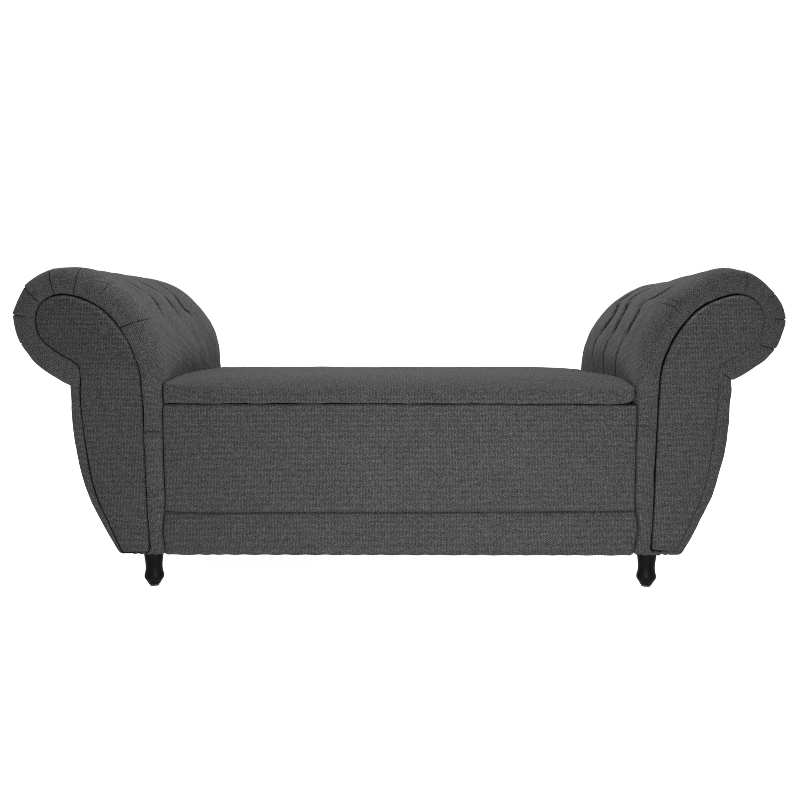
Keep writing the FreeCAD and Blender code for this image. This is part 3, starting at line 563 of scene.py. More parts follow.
# the left facing reaches lower and further out than the right one
fx, fz = FACE_RAW[:, 0], FACE_RAW[:, 1]
lower = step((FACE_S - at(FACE_RAW, FACE_S, (703.0, 501.0))) / 75.0) * step((fx - 556.0) / 27.0)
scroll = step((fx - 690.0) / 50.0) * step((fz - 500.0) / 45.0)
FACE_OF = {1: eased(FACE_RAW)}
FACE_OF[-1] = FACE_OF[1] + np.stack([5.0 * lower + 4.0 * scroll, -5.0 * (1 - step((fz - 87.0) / 45.0))], 1)
PAIRS = [((SIDE, 86), (529, 92)), ((SIDE, 345), (534.8, 345)),
         ((SIDE, 455), (539.5, 452)), ((503, 532), (552, 508)), ((518, 562), (565, 535)),
         ((540, 596), (586, 563.5)), ((568, 628), (608, 588)), ((605, 657), (640, 611)),
         ((648, 679), (668, 622)), ((690, 686.5), (697, 628.4)), ((768, 654), (733, 615.3)),
         ((799.5, 575.5), (750, 577)), ((766.5, 497.5), (732, 525)), ((736, 472), (708, 504.5)),
         ((691.5, 443.5), (665.3, 465)), ((690.4, 405), (665.4, 405)), ((676.5, 280), (653.5, 281)),
         ((634.5, 154), (616.5, 154)), ((598, 87), (585, 90.5))]
key_o = np.array([0.0] + [at(RAW, RAW_S, a) for a, b in PAIRS] + [OUT_L])
key_f = np.array([0.0] + [at(FACE_RAW, FACE_S, b) for a, b in PAIRS] + [FACE_S[-1]])
f_of = np.interp(RAW_S, key_o, key_f)
ker = np.hanning(101)
ker /= ker.sum()
f_of = np.convolve(np.concatenate([f_of[-61:-1] - FACE_S[-1], f_of, f_of[1:61] + FACE_S[-1]]),
                   ker, "same")[60:-60]
SEAM_OF = {side: np.stack([np.interp(f_of % FACE_S[-1], FACE_S, FACE_OF[side][:, k]) for k in (0, 1)], 1)
           for side in (-1, 1)}
# the two scrolls are stuffed a little differently: place on the outline, push, reach
STUFFED = {1: [((706, 686), -5.5, 34.0), ((768, 654), -11.0, 46.0), ((691.5, 424), 3.0, 22.0)],
           -1: [((799.5, 575.5), 10.5, 60.0), ((745, 479), 7.5, 45.0), ((760, 657), 4.5, 55.0)]}
go = np.roll(RAW, -4, 0) - np.roll(RAW, 4, 0)
out_dir = np.stack([-go[:, 1], go[:, 0]], 1) / np.maximum(np.linalg.norm(go, axis=1, keepdims=True), 1e-6)
OUT_OF, WIDTH_OF = {}, {}
for side in (-1, 1):
    push = sum(p * np.exp(-((RAW_S - at(RAW, RAW_S, w)) / r) ** 2) for w, p, r in STUFFED[side])
    OUT_OF[side] = OUT + out_dir * push[:, None]
    OUT_OF[side][:, 1] += (5.5 if side > 0 else -4.5) * np.exp(-((RAW_S - at(RAW, RAW_S, (691.5, 443.5))) / 38.0) ** 2)
    WIDTH_OF[side] = np.linalg.norm(OUT_OF[side] - SEAM_OF[side], axis=1)
SEAT_S = at(RAW, RAW_S, (SIDE, 446.0))
TOP_Q = at(RAW, RAW_S, (690, 686.5)) - SEAT_S
END_Q = at(RAW, RAW_S, (799.5, 575.5)) - SEAT_S
CORNER_Q = at(RAW, RAW_S, (691.5, 443.5)) - SEAT_S
BOTTOM_Q = at(RAW, RAW_S, (SIDE, 86)) - SEAT_S


def around(values, s):
    """Value at lengths s round the closed outline."""
    return np.interp(np.mod(s, OUT_L), RAW_S, values)


def crease_depth(s_out, left):
    """Depth of the seam round the facing: deep inside, shallow round the scroll."""
    q = s_out - SEAT_S
    far = 8.0 if left else 4.0
    key = [-500, -60, 140, 230, TOP_Q - 20, TOP_Q + 90, CORNER_Q - 60, CORNER_Q, CORNER_Q + 60,
           CORNER_Q + 380, 1400]
    val = [11.0, 12, 13.0, 13.0, 11.0, far, far, far + 0.5, 9.5 if left else 6.0, 10.0 if left else 6.0, 8.0]
    return np.interp(q, key, val)


def seam_painted_shade(s_out, left):
    """Painted shade in that seam: how dark it is painted, as tightly as it closes."""
    q = s_out - SEAT_S
    key = [-500, -60, 140, 230, TOP_Q - 20, TOP_Q + 60, TOP_Q + 120, CORNER_Q - 60, CORNER_Q + 60, CORNER_Q + 380, 1400]
    if left:
        return np.interp(q, key, [0.48, 0.5, 0.55, 0.68, 0.95, 0.92, 0.75, 0.85, 0.85, 0.8, 0.6])
    return np.interp(q, key, [0.85, 0.95, 1.0, 1.0, 0.93, 0.6, 0.25, 0.12, 0.1, 0.1, 0.4])


# fold lines up the inside of each arm: height above the seat along the cloth, the
# path of each line along the arm, and the depth and width of the nip; then the
# buttoned places
FOLDS = {
    1: dict(q=[-60, 3, 41, 72, 98, 108, 127, 145, 165, 184, 192, 202, 210, 230, 258, 290, 330, 430],
            lines=[[-92, -93, -95, -99, -101, -102, -107, -110, -90, -68, -98, -125, -140, -160, -178, -170, -150,
                    -108],
                   [6, 6, 14, 11, 10, 8, 10, 19, 42, 76, 88, 90, 88, 82, 62, 55, 50, 20],
                   [107, 108, 126, 128, 122, 116, 103, 102, 132, 172, 190, 196, 196, 190, 178, 165, 150, 120]],
            nip=[2.4, 2.6, 3.0, 3.2, 3.4, 7.0, 12.0, 12.5, 11.5, 6.5, 1.2, 5.5, 6.5, 4.5, 0.6, 0, 0, 0],
            wide=[2.2, 2.2, 2.3, 2.6, 3.0, 3.6, 4.2, 4.4, 4.2, 3.8, 3.2, 3.2, 3.2, 3.2, 3.0, 3, 3, 3],
            dimple=((104.0, -102.0, 11.0, 9.0), (104.0, 9.0, 11.0, 9.0), (104.0, 117.0, 11.0, 9.0),
                    (180.0, -73.0, 12.0, 9.0), (180.0, 62.0, 12.0, 9.0), (180.0, 158.0, 12.0, 9.0))),
    -1: dict(q=[-60, 98, 140, 152, 165, 181, 195, 206, 220, 236, 248, 262, 285, 330, 430],
             lines=[[-116, -118, -124, -121, -106, -91, -87, -80, -86, -102, -112, -116, -114, -110, -100],
                    [18, 20, 22, 23, 24, 26, 31, 34, 36, 34, 28, -8, -12, 4, 18],
                    [112, 110, 110, 106, 96, 98, 106, 112, 118, 126, 132, 134, 132, 130, 124]],
             nip=[0.0, 0.0, 0.6, 4.0, 7.0, 7.6, 6.6, 3.4, 1.4, 3.0, 3.0, 2.0, 0.0, 0, 0],
             wide=[8, 8, 3, 2.8, 3.0, 3.1, 3.0, 2.6, 2.6, 2.6, 2.6, 2.6, 3, 3, 3],
             dimple=((98.0, -100.0, 2.0, 18.0), (98.0, 18.0, 2.0, 18.0), (98.0, 136.0, 2.0, 18.0),
                     (168.0, -102.0, 8.5, 6.0), (168.0, 25.0, 8.5, 6.0), (168.0, 97.0, 8.0, 6.0)))}


def fold_paths(q, side):
    """Place of each fold line along the arm at heights q, and how steeply it slants there."""
    fine = np.arange(-160.0, 1200.0, 2.0)
    ker3 = np.hanning(13)
    ker3 /= ker3.sum()
    out = []
    for path in FOLDS[side]["lines"]:
        yy = np.interp(fine, FOLDS[side]["q"], path)
        yy = np.convolve(np.concatenate([yy[:1].repeat(6), yy, yy[-1:].repeat(6)]), ker3, "same")[6:-6]
        out.append((np.interp(q, fine, yy), np.interp(q, fine, np.gradient(yy, 2.0))))
    return out


def tufting(q, y, side):
    """Inward pull of the buttoned folds and the swell between them, mm, and the painted shade along the folds, in the
    button dimples and along their drag lines.
    """
    fd = FOLDS[side]
    rng = np.random.default_rng(5 if side < 0 else 9)
    inward = np.zeros_like(q)
    lap = np.zeros_like(q)
    dark = np.zeros_like(q)
    near = np.full_like(q, 1e3)
    for line, slope in fold_paths(q, side):
        deep = np.interp(q, fd["q"], np.array(fd["nip"]) * rng.uniform(0.88, 1.12, len(fd["q"])))
        wide = np.interp(q, fd["q"], fd["wide"])
        d = (y - line) / np.sqrt(1 + slope ** 2)
        inward = np.maximum(inward, deep * np.exp(-(np.abs(d) / wide) ** 1.8))
        lap += 0.20 * deep * step((d - 1.0) / 4.0) * np.exp(-(np.maximum(d, 0) / 24.0) ** 1.5)
        lap -= 0.22 * deep * step((-d - 1.0) / 5.0) * np.exp(-(np.maximum(-d, 0) / 15.0) ** 1.5)
        # painted shade down the nip of each fold
        dark = np.maximum(dark, np.clip(deep / 9.0, 0, 1) * np.exp(-(np.abs(d - 0.6) / (0.85 * wide)) ** 2.4))
        near = np.minimum(near, np.abs(d))
    for bq, by, bd, br in fd["dimple"]:
        r = np.hypot((q - bq) * 0.8, y - by)
        inward = np.maximum(inward, bd * np.exp(-(r / br) ** 1.2))
        # painted shade in each button dimple
        dark = np.maximum(dark, 0.35 * np.clip(bd / 9.0 - 0.3, 0, 1) * np.exp(-(r / (0.5 * br)) ** 2))
        # drag lines that run forward from the button
        w = by - y
        drag = np.exp(-(np.abs(q - bq + 0.35 * w) / 2.4) ** 1.3) * step(w / 6.0) * np.exp(-np.maximum(w, 0) / 14.0)
        inward = inward + 0.12 * bd * drag
        # painted shade along the drag lines
        dark = np.maximum(dark, 0.02 * bd * drag)
    window = step((q - 5) / 40.0) * step((330 - q) / 90.0) * step((y + 200) / 70.0) * step((250 - y) / 60.0)
    full = 1.5 if side > 0 else 2.5
    swell = full * (1 - np.exp(-(near / 30.0) ** 2)) * window
    return (inward - lap) * step((q + 70) / 40.0) - swell, dark


# pleats drawn over the edge of the scroll: place along the outline, depth, lap
# height, reach along the arm, slant there, slant across the front band, and the
# part of the band that stays free of it
PLEATS = {
    -1: [(TOP_Q + 42, 4.2, 1.8, 46, -0.1, -4, 0.0), (TOP_Q + 100, 4.4, 2.6, 56, 0.08, 4, 0.0),
         (TOP_Q + 162, 3.8, 2.4, 50, 0.05, 5, 0.3), (TOP_Q - 21, 3.0, 0.3, 26, 0.0, -7, 0.0),
         (TOP_Q - 95, 2.0, 0.4, 42, 0.2, 0, 0.3), (CORNER_Q - 130, 2.6, 1.0, 30, 0.0, 0, 0.6),
         (140.0, 3.6, 0.9, 46, 0.0, 14, -0.05)],
    1: [(TOP_Q + 30, 2.4, 0.7, 30, 0.1, 0, 0.1), (TOP_Q + 110, 2.2, 0.8, 40, 0.1, 0, 0.4),
        (END_Q - 2, 3.2, 0.8, 34, 0.05, 0, 0.3), (END_Q + 65, 3.4, 0.4, 46, -0.05, 14, 0.1),
        (CORNER_Q - 4, 3.2, 0.5, 26, 0.0, 0, 0.2),
        (184.0, 3.0, 0.4, 40, -0.02, 0, 0.4), (198.0, 2.6, 0.2, 30, -0.12, 0, 0.45)]}


def build_arm(side):
    left = side < 0
    tag = "left_" if left else "right_"
    rng = np.random.default_rng(31 if left else 32)
    pleats = [(1, *p) for p in PLEATS[side]]                       # front end
    pleats += [(-1, p[0] + rng.uniform(-16, 16), *p[1:]) for p in PLEATS[side] if p[0] > TOP_Q - 30]
    band_seam = (342.3 if left else 354.3) - 446.0

    # columns crowd together at the pleats
    ss = np.arange(0, OUT_L, 0.25)
    dens = np.full(len(ss), 1 / 4.3)
    for p in pleats:
        dens += 0.8 * np.exp(-((ss - SEAT_S - p[1]) / 3.4) ** 2)
    dens += 0.9 * np.exp(-((ss - SEAT_S - band_seam) / 3.0) ** 2)
    dens += 0.25 * np.exp(-((ss - SEAT_S - CORNER_Q) / 10.0) ** 2)
    dens += 0.35 * np.exp(-((ss - SEAT_S - BOTTOM_Q) / 8.0) ** 2)
    cum = np.concatenate([[0], np.cumsum(dens * 0.25)])
    n = int(round(cum[-1]))
    base_s = np.interp(np.arange(n) * cum[-1] / n, cum, np.concatenate([ss, [OUT_L]]))

    outline = OUT_OF[side]
    wd = around(WIDTH_OF[side], base_s)
    q0 = base_s - SEAT_S
    # roundness of the front edge: tight beside the box, full beside the seat,
    # tight again round the scroll
    kq = [-600, -20, 70, 200, TOP_Q - 60, TOP_Q + 20, CORNER_Q, 1400]
    if left:
        ra = np.interp(q0, kq, [4.0, 4.0, 32.0, 37.0, 44.0, 36.0, 8.0, 5.0])
        ry = np.interp(q0, kq, [5.0, 5.0, 46.0, 54.0, 50.0, 30.0, 9.0, 6.0])
    else:
        ra = np.interp(q0, kq, [4.0, 4.0, 20.0, 24.0, 24.0, 16.0, 8.0, 5.0])
        ry = np.interp(q0, kq, [5.0, 5.0, 46.0, 52.0, 42.0, 19.0, 9.0, 6.0])
    ra = np.minimum(ra, (0.8 if left else 0.6) * wd)
    rl = np.minimum(4.4, 0.2 * wd)
    dep = crease_depth(base_s, left)
    front = -277.0

    rows = []                                     # fraction of the band, depth
    rows.append((np.zeros(n) - 0.015, -280.0 + dep + 14.0))
    for th in np.linspace(0, math.pi / 2, 7):
        rows.append((rl * (1 - math.cos(th)) / wd, (-280.0 + dep) + (front + 280.0 - dep) * math.sin(th)))
    for u in np.linspace(0, 1, 10)[1:-1]:
        a0, a1 = rl / wd, (wd - ra) / wd
        rows.append((a0 + (a1 - a0) * u,
                     np.full(n, front) - 2.4 * math.sin(math.pi * u) ** 0.8 * np.clip(wd / 46, 0, 1)))
    for th in np.linspace(0, math.pi / 2, 12):
        rows.append(((wd - ra + ra * math.sin(th)) / wd, front + ry * (1 - math.cos(th))))
    # the front edge stands back from the box; behind it the cover lies on the boards
    rows.append((np.ones(n), np.maximum(front + ry + 0.7, -263.7)))
    rows.append((np.ones(n), np.maximum(front + ry + 1.4, -262.6)))
    head = len(rows)

    # rows along the side follow the fold lines and crowd together there
    lines_y = [line for line, slope in fold_paths(q0, side)]
    stops = [rows[-1][1]] + lines_y + [-rows[-1][1]]

    def spread(count, tight_a, tight_b):
        u = np.linspace(0, 1, count + 1)
        dens_u = 1.0 / (1 + (5.0 if tight_a else 0) * np.exp(-u / 0.10)
                        + (5.0 if tight_b else 0) * np.exp(-(1 - u) / 0.10))
        c = np.concatenate([[0], np.cumsum((dens_u[1:] + dens_u[:-1]) / 2)])
        return c / c[-1]
    for k in range(4):
        u = spread(38, k > 0, k < 3)
        for f in (u[1:] if k < 3 else u[1:-1]):
            rows.append((np.ones(n), stops[k] + (stops[k + 1] - stops[k]) * f))
    rows += [(a, -y) for a, y in rows[:head][::-1]]
    a = np.array([r[0] for r in rows])
    y = np.array([r[1] for r in rows])
    # columns lean with the slanting pleats
    s = np.broadcast_to(base_s[None], y.shape).copy()
    for e, pq, nip, lap, reach, slant, across, free in pleats:
        run = np.clip(278.0 + e * y, 0, None)
        lean = np.minimum(run, 1.2 * reach) * np.exp(-(run / (2.4 * reach)) ** 3)
        lean = slant * lean + across * (1 - np.clip(a, 0, 1)) * (run < 120)
        s += np.clip(lean, -9, 14) * np.exp(-((base_s[None] - SEAT_S - pq) / 24.0) ** 2)
    q = s - SEAT_S
    ox, oz = around(outline[:, 0], s), around(outline[:, 1], s)
    sx, sz = around(SEAM_OF[side][:, 0], s), around(SEAM_OF[side][:, 1], s)
    ox = ox + step((-262.7 - y) / 0.9) * (joint(side, oz) - 496.7) * (1 - step((ox - 498.0) / 40.0)) \
        * (1 - step((oz - 435.0) / 50.0))
    # behind its front the arm leans over the seat
    lean_in = 11.5 * step((y + 200.0) / 300.0) * (0.35 + 0.65 * step((oz - 396.0) / 26.0))
    ox = ox - lean_in * (1 - step((ox - 520.0) / 110.0)) * (1 - step((oz - 500.0) / 130.0))
    pos = np.stack([sx + a * (ox - sx), y, sz + a * (oz - sz)], -1)

    ds = np.roll(pos, -1, 1) - np.roll(pos, 1, 1)
    dt = np.gradient(pos, axis=0)
    nor = np.cross(ds, dt)
    nor /= np.maximum(np.linalg.norm(nor, axis=-1, keepdims=True), 1e-9)
    mid = len(pos) // 2
    if np.mean(nor[mid, :, 0] * (pos[mid, :, 0] - 600)) < 0:
        nor = -nor

    side_w = step((a - 0.6) / 0.4) * step((252.0 - np.abs(y)) / 30.0)
    pull, dark = tufting(q, y, side)
    disp = -pull * side_w
    dark = dark * side_w
    # the crown of the arm lies lower behind its front
    sag = 17.0 if not left else 3.5
    sag_w = np.where(y < 0, side_w, step(a))
    behind = np.interp(y, [-250, -205, -160, -117, -90, -40, 40, 120], [0, 0.08, 0.26, 0.37, 0.42, 0.62, 0.87, 1.0])
    disp -= sag * behind * step((q - 148) / 200.0) * step((TOP_Q + 150 - q) / 130.0) * sag_w
    if left:
        disp += 11.0 * step((y - 20) / 170.0) * step((q - 40) / 90.0) * step((330 - q) / 130.0) * step(a)
    for e, pq, nip, lap, reach, slant, across, free in pleats:
        run = 278.0 + e * y
        d = base_s[None] - SEAT_S - pq
        fade = np.exp(-(np.maximum(run - 6, 0) / reach) ** 1.5) * step((a - free + 0.02) / (0.16 + 0.5 * max(free, 0)))
        disp -= nip * np.exp(-(np.abs(d) / 1.25) ** 1.6) * fade
        disp += 0.5 * lap * np.where(d < 0, np.exp(d / 26.0), -0.45 * np.exp(-d / 20.0)) * fade
        # painted shade in the nip of each pleat
        dark = np.maximum(dark, np.clip(nip / 4.5, 0, 1) * np.exp(-(np.abs(d) / 1.15) ** 2) * fade)
    # flat facets between the pleats of the scroll
    for e in (1, -1):
        marks = sorted([p[1] for p in pleats if p[0] == e and p[1] > TOP_Q - 90] + [CORNER_Q - 12])
        flat_w = np.exp(-((278.0 + e * y) / 75.0) ** 2) * step((a - 0.25) / 0.6)
        for m0, m1 in zip(marks[:-1], marks[1:]):
            t = np.clip((base_s - SEAT_S - m0) / (m1 - m0), 0, 1)
            keen = 0.5 if left and m1 < CORNER_Q - 60 else 0.2
            disp -= min((m1 - m0) ** 2 / 840.0, 5.0) * (4 * t * (1 - t))[None] * flat_w * keen
    cut = np.exp(-(np.abs(q - band_seam) / 1.4) ** 1.6)
    on_band = np.where(np.abs(y) > 255, 1.0, 0.0) * step((a - 0.05) / 0.1)
    disp -= 3.0 * cut * on_band * step((0.9 - a) / 0.12)
    # painted shade in the seam groove across the band
    dark = np.maximum(dark, 0.3 * cut * on_band)
    # painted shade in the lip of the seam round the facing
    lip = np.exp(-(np.clip(a, 0, 1) * wd[None] / (1.6 if left else 2.2)) ** 4) * (np.abs(y) > 240)
    dark = np.maximum(dark, seam_painted_shade(s, left) * lip)
    # loose cloth: gentle unevenness, and small drags at the foot of the arm
    soft = ripple(71 if left else 72, 14, 70, 220)
    fine = ripple(81 if left else 82, 16, 22, 60)
    flat = 1 - 0.75 * step((30 - q) / 40.0) * (q < 40) * (np.abs(y) < 262)
    disp += (0.9 * soft(q, y + 40 * a) + 0.28 * fine(q, y + a * 40)) * flat
    foot = np.exp(-np.maximum(pos[..., 2] - BASE, 0) / 30.0) * (pos[..., 0] < 575)
    disp += 1.1 * foot * np.sin(pos[..., 0] * 0.42 + pos[..., 2] * 0.2) * step((np.abs(y) - 225) / 30)
    disp[0] = 0
    disp[-1] = 0
    disp[1] *= 0.3
    disp[-2] *= 0.3
    shell = pos + nor * disp[..., None]
    low = eased(np.stack([np.full(1, SIDE), np.full(1, 300.0)], -1))[0, 0] - 0.3
    low = low - np.where(shell[..., 2] < 400, 4.2, 12.5) * step((y + 200.0) / 300.0)
    low = low + (483.6 - low) * step((shell[..., 2] - 440.0) / 60.0)
    shell[..., 0] = np.maximum(shell[..., 0], low)
    shell[..., 2] = np.maximum(shell[..., 2], 77.2)

    # painted highlight on the left band, a little paler than the facing it frames; painted shade on the full edge of
    # the right arm beside the seat
    front_w = step((-215.0 - y) / 40.0)
    if left:
        dark = dark - 0.15 * front_w * (1 - np.clip(dark, 0, 1))
    else:
        dark = dark + 0.15 * step((-130.0 - y) / 60.0) * step((q - 30) / 50.0) * step((250 - q) / 60.0) \
            * step((a - 0.3) / 0.3) * (1 - np.clip(dark, 0, 1))
    # cloth coordinates: depth along the arm and length round it
    uu = y.copy()
    stepd = np.linalg.norm(np.diff(pos, axis=0), axis=-1)
    for r in range(head - 1, -1, -1):
        uu[r] = uu[r + 1] - stepd[r]
    for r in range(len(pos) - head, len(pos)):
        uu[r] = uu[r - 1] + stepd[r - 1]
    uv = np.stack([uu, s], -1)
    shell[..., 0] *= side
    return tag, shell, uv, head, q, y, dark


def settle(name, grid, pinned, wrap, pressure, cap, spacing, frames=16, tension=14.0, bending=0.8):
    """Cloth pass on a coarse copy of a grid; its movement is carried over to the fine one."""
    rows, cols = grid.shape[:2]

    def pick(count, dist):
        keep, last = [0], 0.0
        for i in range(1, count - 1):
            if dist[i] - last >= spacing:
                keep.append(i)
                last = dist[i]
        return np.array(keep + [count - 1])
    dr = np.concatenate([[0], np.cumsum(np.median(np.linalg.norm(np.diff(grid, axis=0), axis=-1), axis=1))])
    dc = np.concatenate([[0], np.cumsum(np.median(np.linalg.norm(np.diff(grid, axis=1), axis=-1), axis=0))])
    ri, ci = pick(rows, dr), pick(cols, dc)
    if wrap:
        ci = ci[:-1]
    small = grid[np.ix_(ri, ci)]
    pin = pinned[np.ix_(ri, ci)]
    ob = make(name, small.reshape(-1, 3), grid_faces(len(ri), len(ci), wrap).tolist())
    c = small.reshape(-1, 3)
    outward = 0.0
    for p in ob.data.polygons:
        outward += p.normal.dot(Vector(c[p.vertices[0]] * 0.001) - Vector(c.mean(0) * 0.001)) * p.area
    if outward < 0:
        ob.data.flip_normals()
    start = inflate(ob, pressure, pin.ravel(), frames, cap, tension, bending)
    move = (coords(ob) - start).reshape(len(ri), len(ci), 3) * 1000.0
    bpy.data.objects.remove(ob, do_unlink=True)
    # smooth the movement a little, then spread it over the fine grid
    for _ in range(2):
        m2 = move.copy()
        m2[1:-1] = 0.25 * move[:-2] + 0.5 * move[1:-1] + 0.25 * move[2:]
        move = m2
        if wrap:
            move = 0.25 * np.roll(move, 1, 1) + 0.5 * move + 0.25 * np.roll(move, -1, 1)
        else:
            m2 = move.copy()
            m2[:, 1:-1] = 0.25 * move[:, :-2] + 0.5 * move[:, 1:-1] + 0.25 * move[:, 2:]
            move = m2
    full = np.zeros((rows, len(ci), 3))
    for j in range(len(ci)):
        for k in range(3):
            full[:, j, k] = np.interp(np.arange(rows), ri, move[:, j, k])
    out = np.zeros_like(grid)
    cx = np.arange(cols)
    for k in range(3):
        for r in range(rows):
            if wrap:
                out[r, :, k] = np.interp(cx, np.append(ci, cols), np.append(full[r, :, k], full[r, 0, k]))
            else:
                out[r, :, k] = np.interp(cx, ci, full[r, :, k])
    return grid + out


def finish_grid(name, node, grid, uv, flip, wrap, dark, body="frame"):
    ob = make(name, grid.reshape(-1, 3), grid_faces(grid.shape[0], grid.shape[1], wrap, flip=flip).tolist(),
              uv.reshape(-1, 2), CLOTH, dark)
    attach(ob, body)
    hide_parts(node)
    return ob


for side in (-1, 1):
    tag, shell, uv, head, q, y, dark = build_arm(side)
    pinned = np.zeros(q.shape)
    pinned[:8] = 1.0
    pinned[-8:] = 1.0
    pinned[(q < 15) | (q > CORNER_Q - 10)] = 1.0
    tuft = np.zeros(q.shape, bool)
    for line, slope in fold_paths(q, side):
        tuft |= (np.abs(y - line) < 5 * np.sqrt(1 + slope ** 2)) & (q > 0) & (q < 290)
    pinned[tuft] = 1.0
    shell = settle(tag + "arm_settling", shell, pinned, True, 2.2, 0.004, 8.5)
    # the wrapped grid needs its last column joined to the first
    finish_grid(tag + "arm_cover", tag + "arm_padding", shell, uv, side > 0, True, dark)


# ------------------------------------------------------------------ buttons
def build_buttons(side):
    tag = "left_" if side < 0 else "right_"
    verts, faces, uvs = [], [], []
    for bq, by, bd, br in FOLDS[side]["dimple"]:
        s = bq + SEAT_S
        p = np.array([around(OUT[:, 0], s), around(OUT[:, 1], s)])
        t = unit(np.array([around(OUT[:, k], s + 2) - around(OUT[:, k], s - 2) for k in (0, 1)]))
        nrm = np.array([t[1], -t[0]])            # into the arm
        sink = max(bd + 2.0, 13.0)
        c = np.array([p[0] + nrm[0] * sink, by, p[1] + nrm[1] * sink])
        ex = np.array([t[0], 0, t[1]])
        ey = np.array([0, 1.0, 0])
        ez = -np.array([nrm[0], 0, nrm[1]])
        start = len(verts)
        rings, seg = 8, 22
        for r in range(rings):
            f = r / (rings - 1)
            rad = 8.4 * math.sin(f * math.pi / 2 * 1.15)
            h = 4.0 * math.cos(f * math.pi / 2 * 1.15)
            for k in range(seg):
                an = 2 * math.pi * k / seg
                w = c + ex * rad * math.cos(an) + ey * rad * math.sin(an) + ez * h
                verts.append((w[0] * side, w[1], w[2]))
                uvs.append((rad * math.cos(an) + bq, rad * math.sin(an) + by))
        for r in range(rings - 1):
            for k in range(seg):
                a, b = start + r * seg + k, start + r * seg + (k + 1) % seg
                q = [a, b, b + seg, a + seg]
                faces.append(q if side > 0 else q[::-1])
    ob = make(tag + "arm_button_covers", verts, faces, uvs, CLOTH)
    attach(ob, "frame")
    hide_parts(tag + "arm_buttons")
    return ob


for side in (-1, 1):
    build_buttons(side)


# ------------------------------------------- flat pieces with a free outline
def inside_loop(pts, loop):
    inside = np.zeros(len(pts), bool)
    for p, r in zip(loop, np.roll(loop, -1, 0)):
        cond = (p[1] > pts[:, 1]) != (r[1] > pts[:, 1])
        with np.errstate(divide="ignore", invalid="ignore"):
            xi = (r[0] - p[0]) * (pts[:, 1] - p[1]) / (r[1] - p[1]) + p[0]
        inside ^= cond & (pts[:, 0] < xi)
    return inside


def nearest(pts, loop):
    out = np.full(len(pts), 1e9)
    which = np.zeros(len(pts), int)
    a, b = loop, np.roll(loop, -1, 0)
    for i in range(len(loop)):
        e = b[i] - a[i]
        t = np.clip(((pts - a[i]) @ e) / (e @ e), 0, 1)
        d = np.linalg.norm(pts - a[i] - t[:, None] * e, axis=1)
        better = d < out
        out[better] = d[better]
        which[better] = i
    return out, which


def fill_loop(loop, spacing, insets):
    """Triangles inside a closed outline: rows close to the edge, even points inside.
    Gives points, distance to the edge, nearest edge point, faces, and the ring of edge points."""
    m = len(loop)
    tan = np.roll(loop, -1, 0) - np.roll(loop, 1, 0)
    tan /= np.linalg.norm(tan, axis=1, keepdims=True)
    area2 = (loop[:, 0] * np.roll(loop[:, 1], -1) - np.roll(loop[:, 0], -1) * loop[:, 1]).sum()
    inn = np.stack([-tan[:, 1], tan[:, 0]], 1) * (1 if area2 > 0 else -1)
    extra = []
    for d in insets:
        ring = loop + inn * d
        ok = nearest(ring, loop)[0] > d * 0.93
        extra.append(ring[ok & inside_loop(ring, loop)])
    lo, hi = loop.min(0), loop.max(0)
    row = spacing * math.sqrt(3) / 2
    grid = []
    for j, zz in enumerate(np.arange(lo[1] + row / 2, hi[1], row)):
        xs = np.arange(lo[0] + (spacing / 2 if j % 2 else 0), hi[0], spacing)
        grid.append(np.stack([xs, np.full(len(xs), zz)], 1))
    grid = np.concatenate(grid)
    grid = grid[inside_loop(grid, loop)]
    grid = grid[nearest(grid, loop)[0] > insets[-1] + spacing * 0.55]
    pts = np.concatenate([loop] + extra + [grid])
    dist, which = nearest(pts[m:], loop)
    dist = np.concatenate([np.zeros(m), dist])
    which = np.concatenate([np.arange(m), which])
    edges = [(i, (i + 1) % m) for i in range(m)]
    res = geometry.delaunay_2d_cdt([Vector((float(p[0]), float(p[1]))) for p in pts], edges, [], 1, 1e-5)
    src = np.array([o[0] if o else 0 for o in res[3]])
    ring = [int(np.nonzero(src == i)[0][0]) for i in range(m)]
    return pts[src], dist[src], which[src], [list(f) for f in res[2]], ring


def orient(ob, axis, positive):
    bm = bmesh.new()
    bm.from_mesh(ob.data)
    bmesh.ops.recalc_face_normals(bm, faces=bm.faces)
    out = sum(f.normal[axis] * f.calc_area() for f in bm.faces)
    if (out > 0) != positive:
        bmesh.ops.reverse_faces(bm, faces=bm.faces)
    bm.to_mesh(ob.data)
    bm.free()


def quarter(t):
    t = np.clip(t, 0, 1)
    return np.sqrt(np.clip(1 - (1 - t) ** 2, 0, 1))


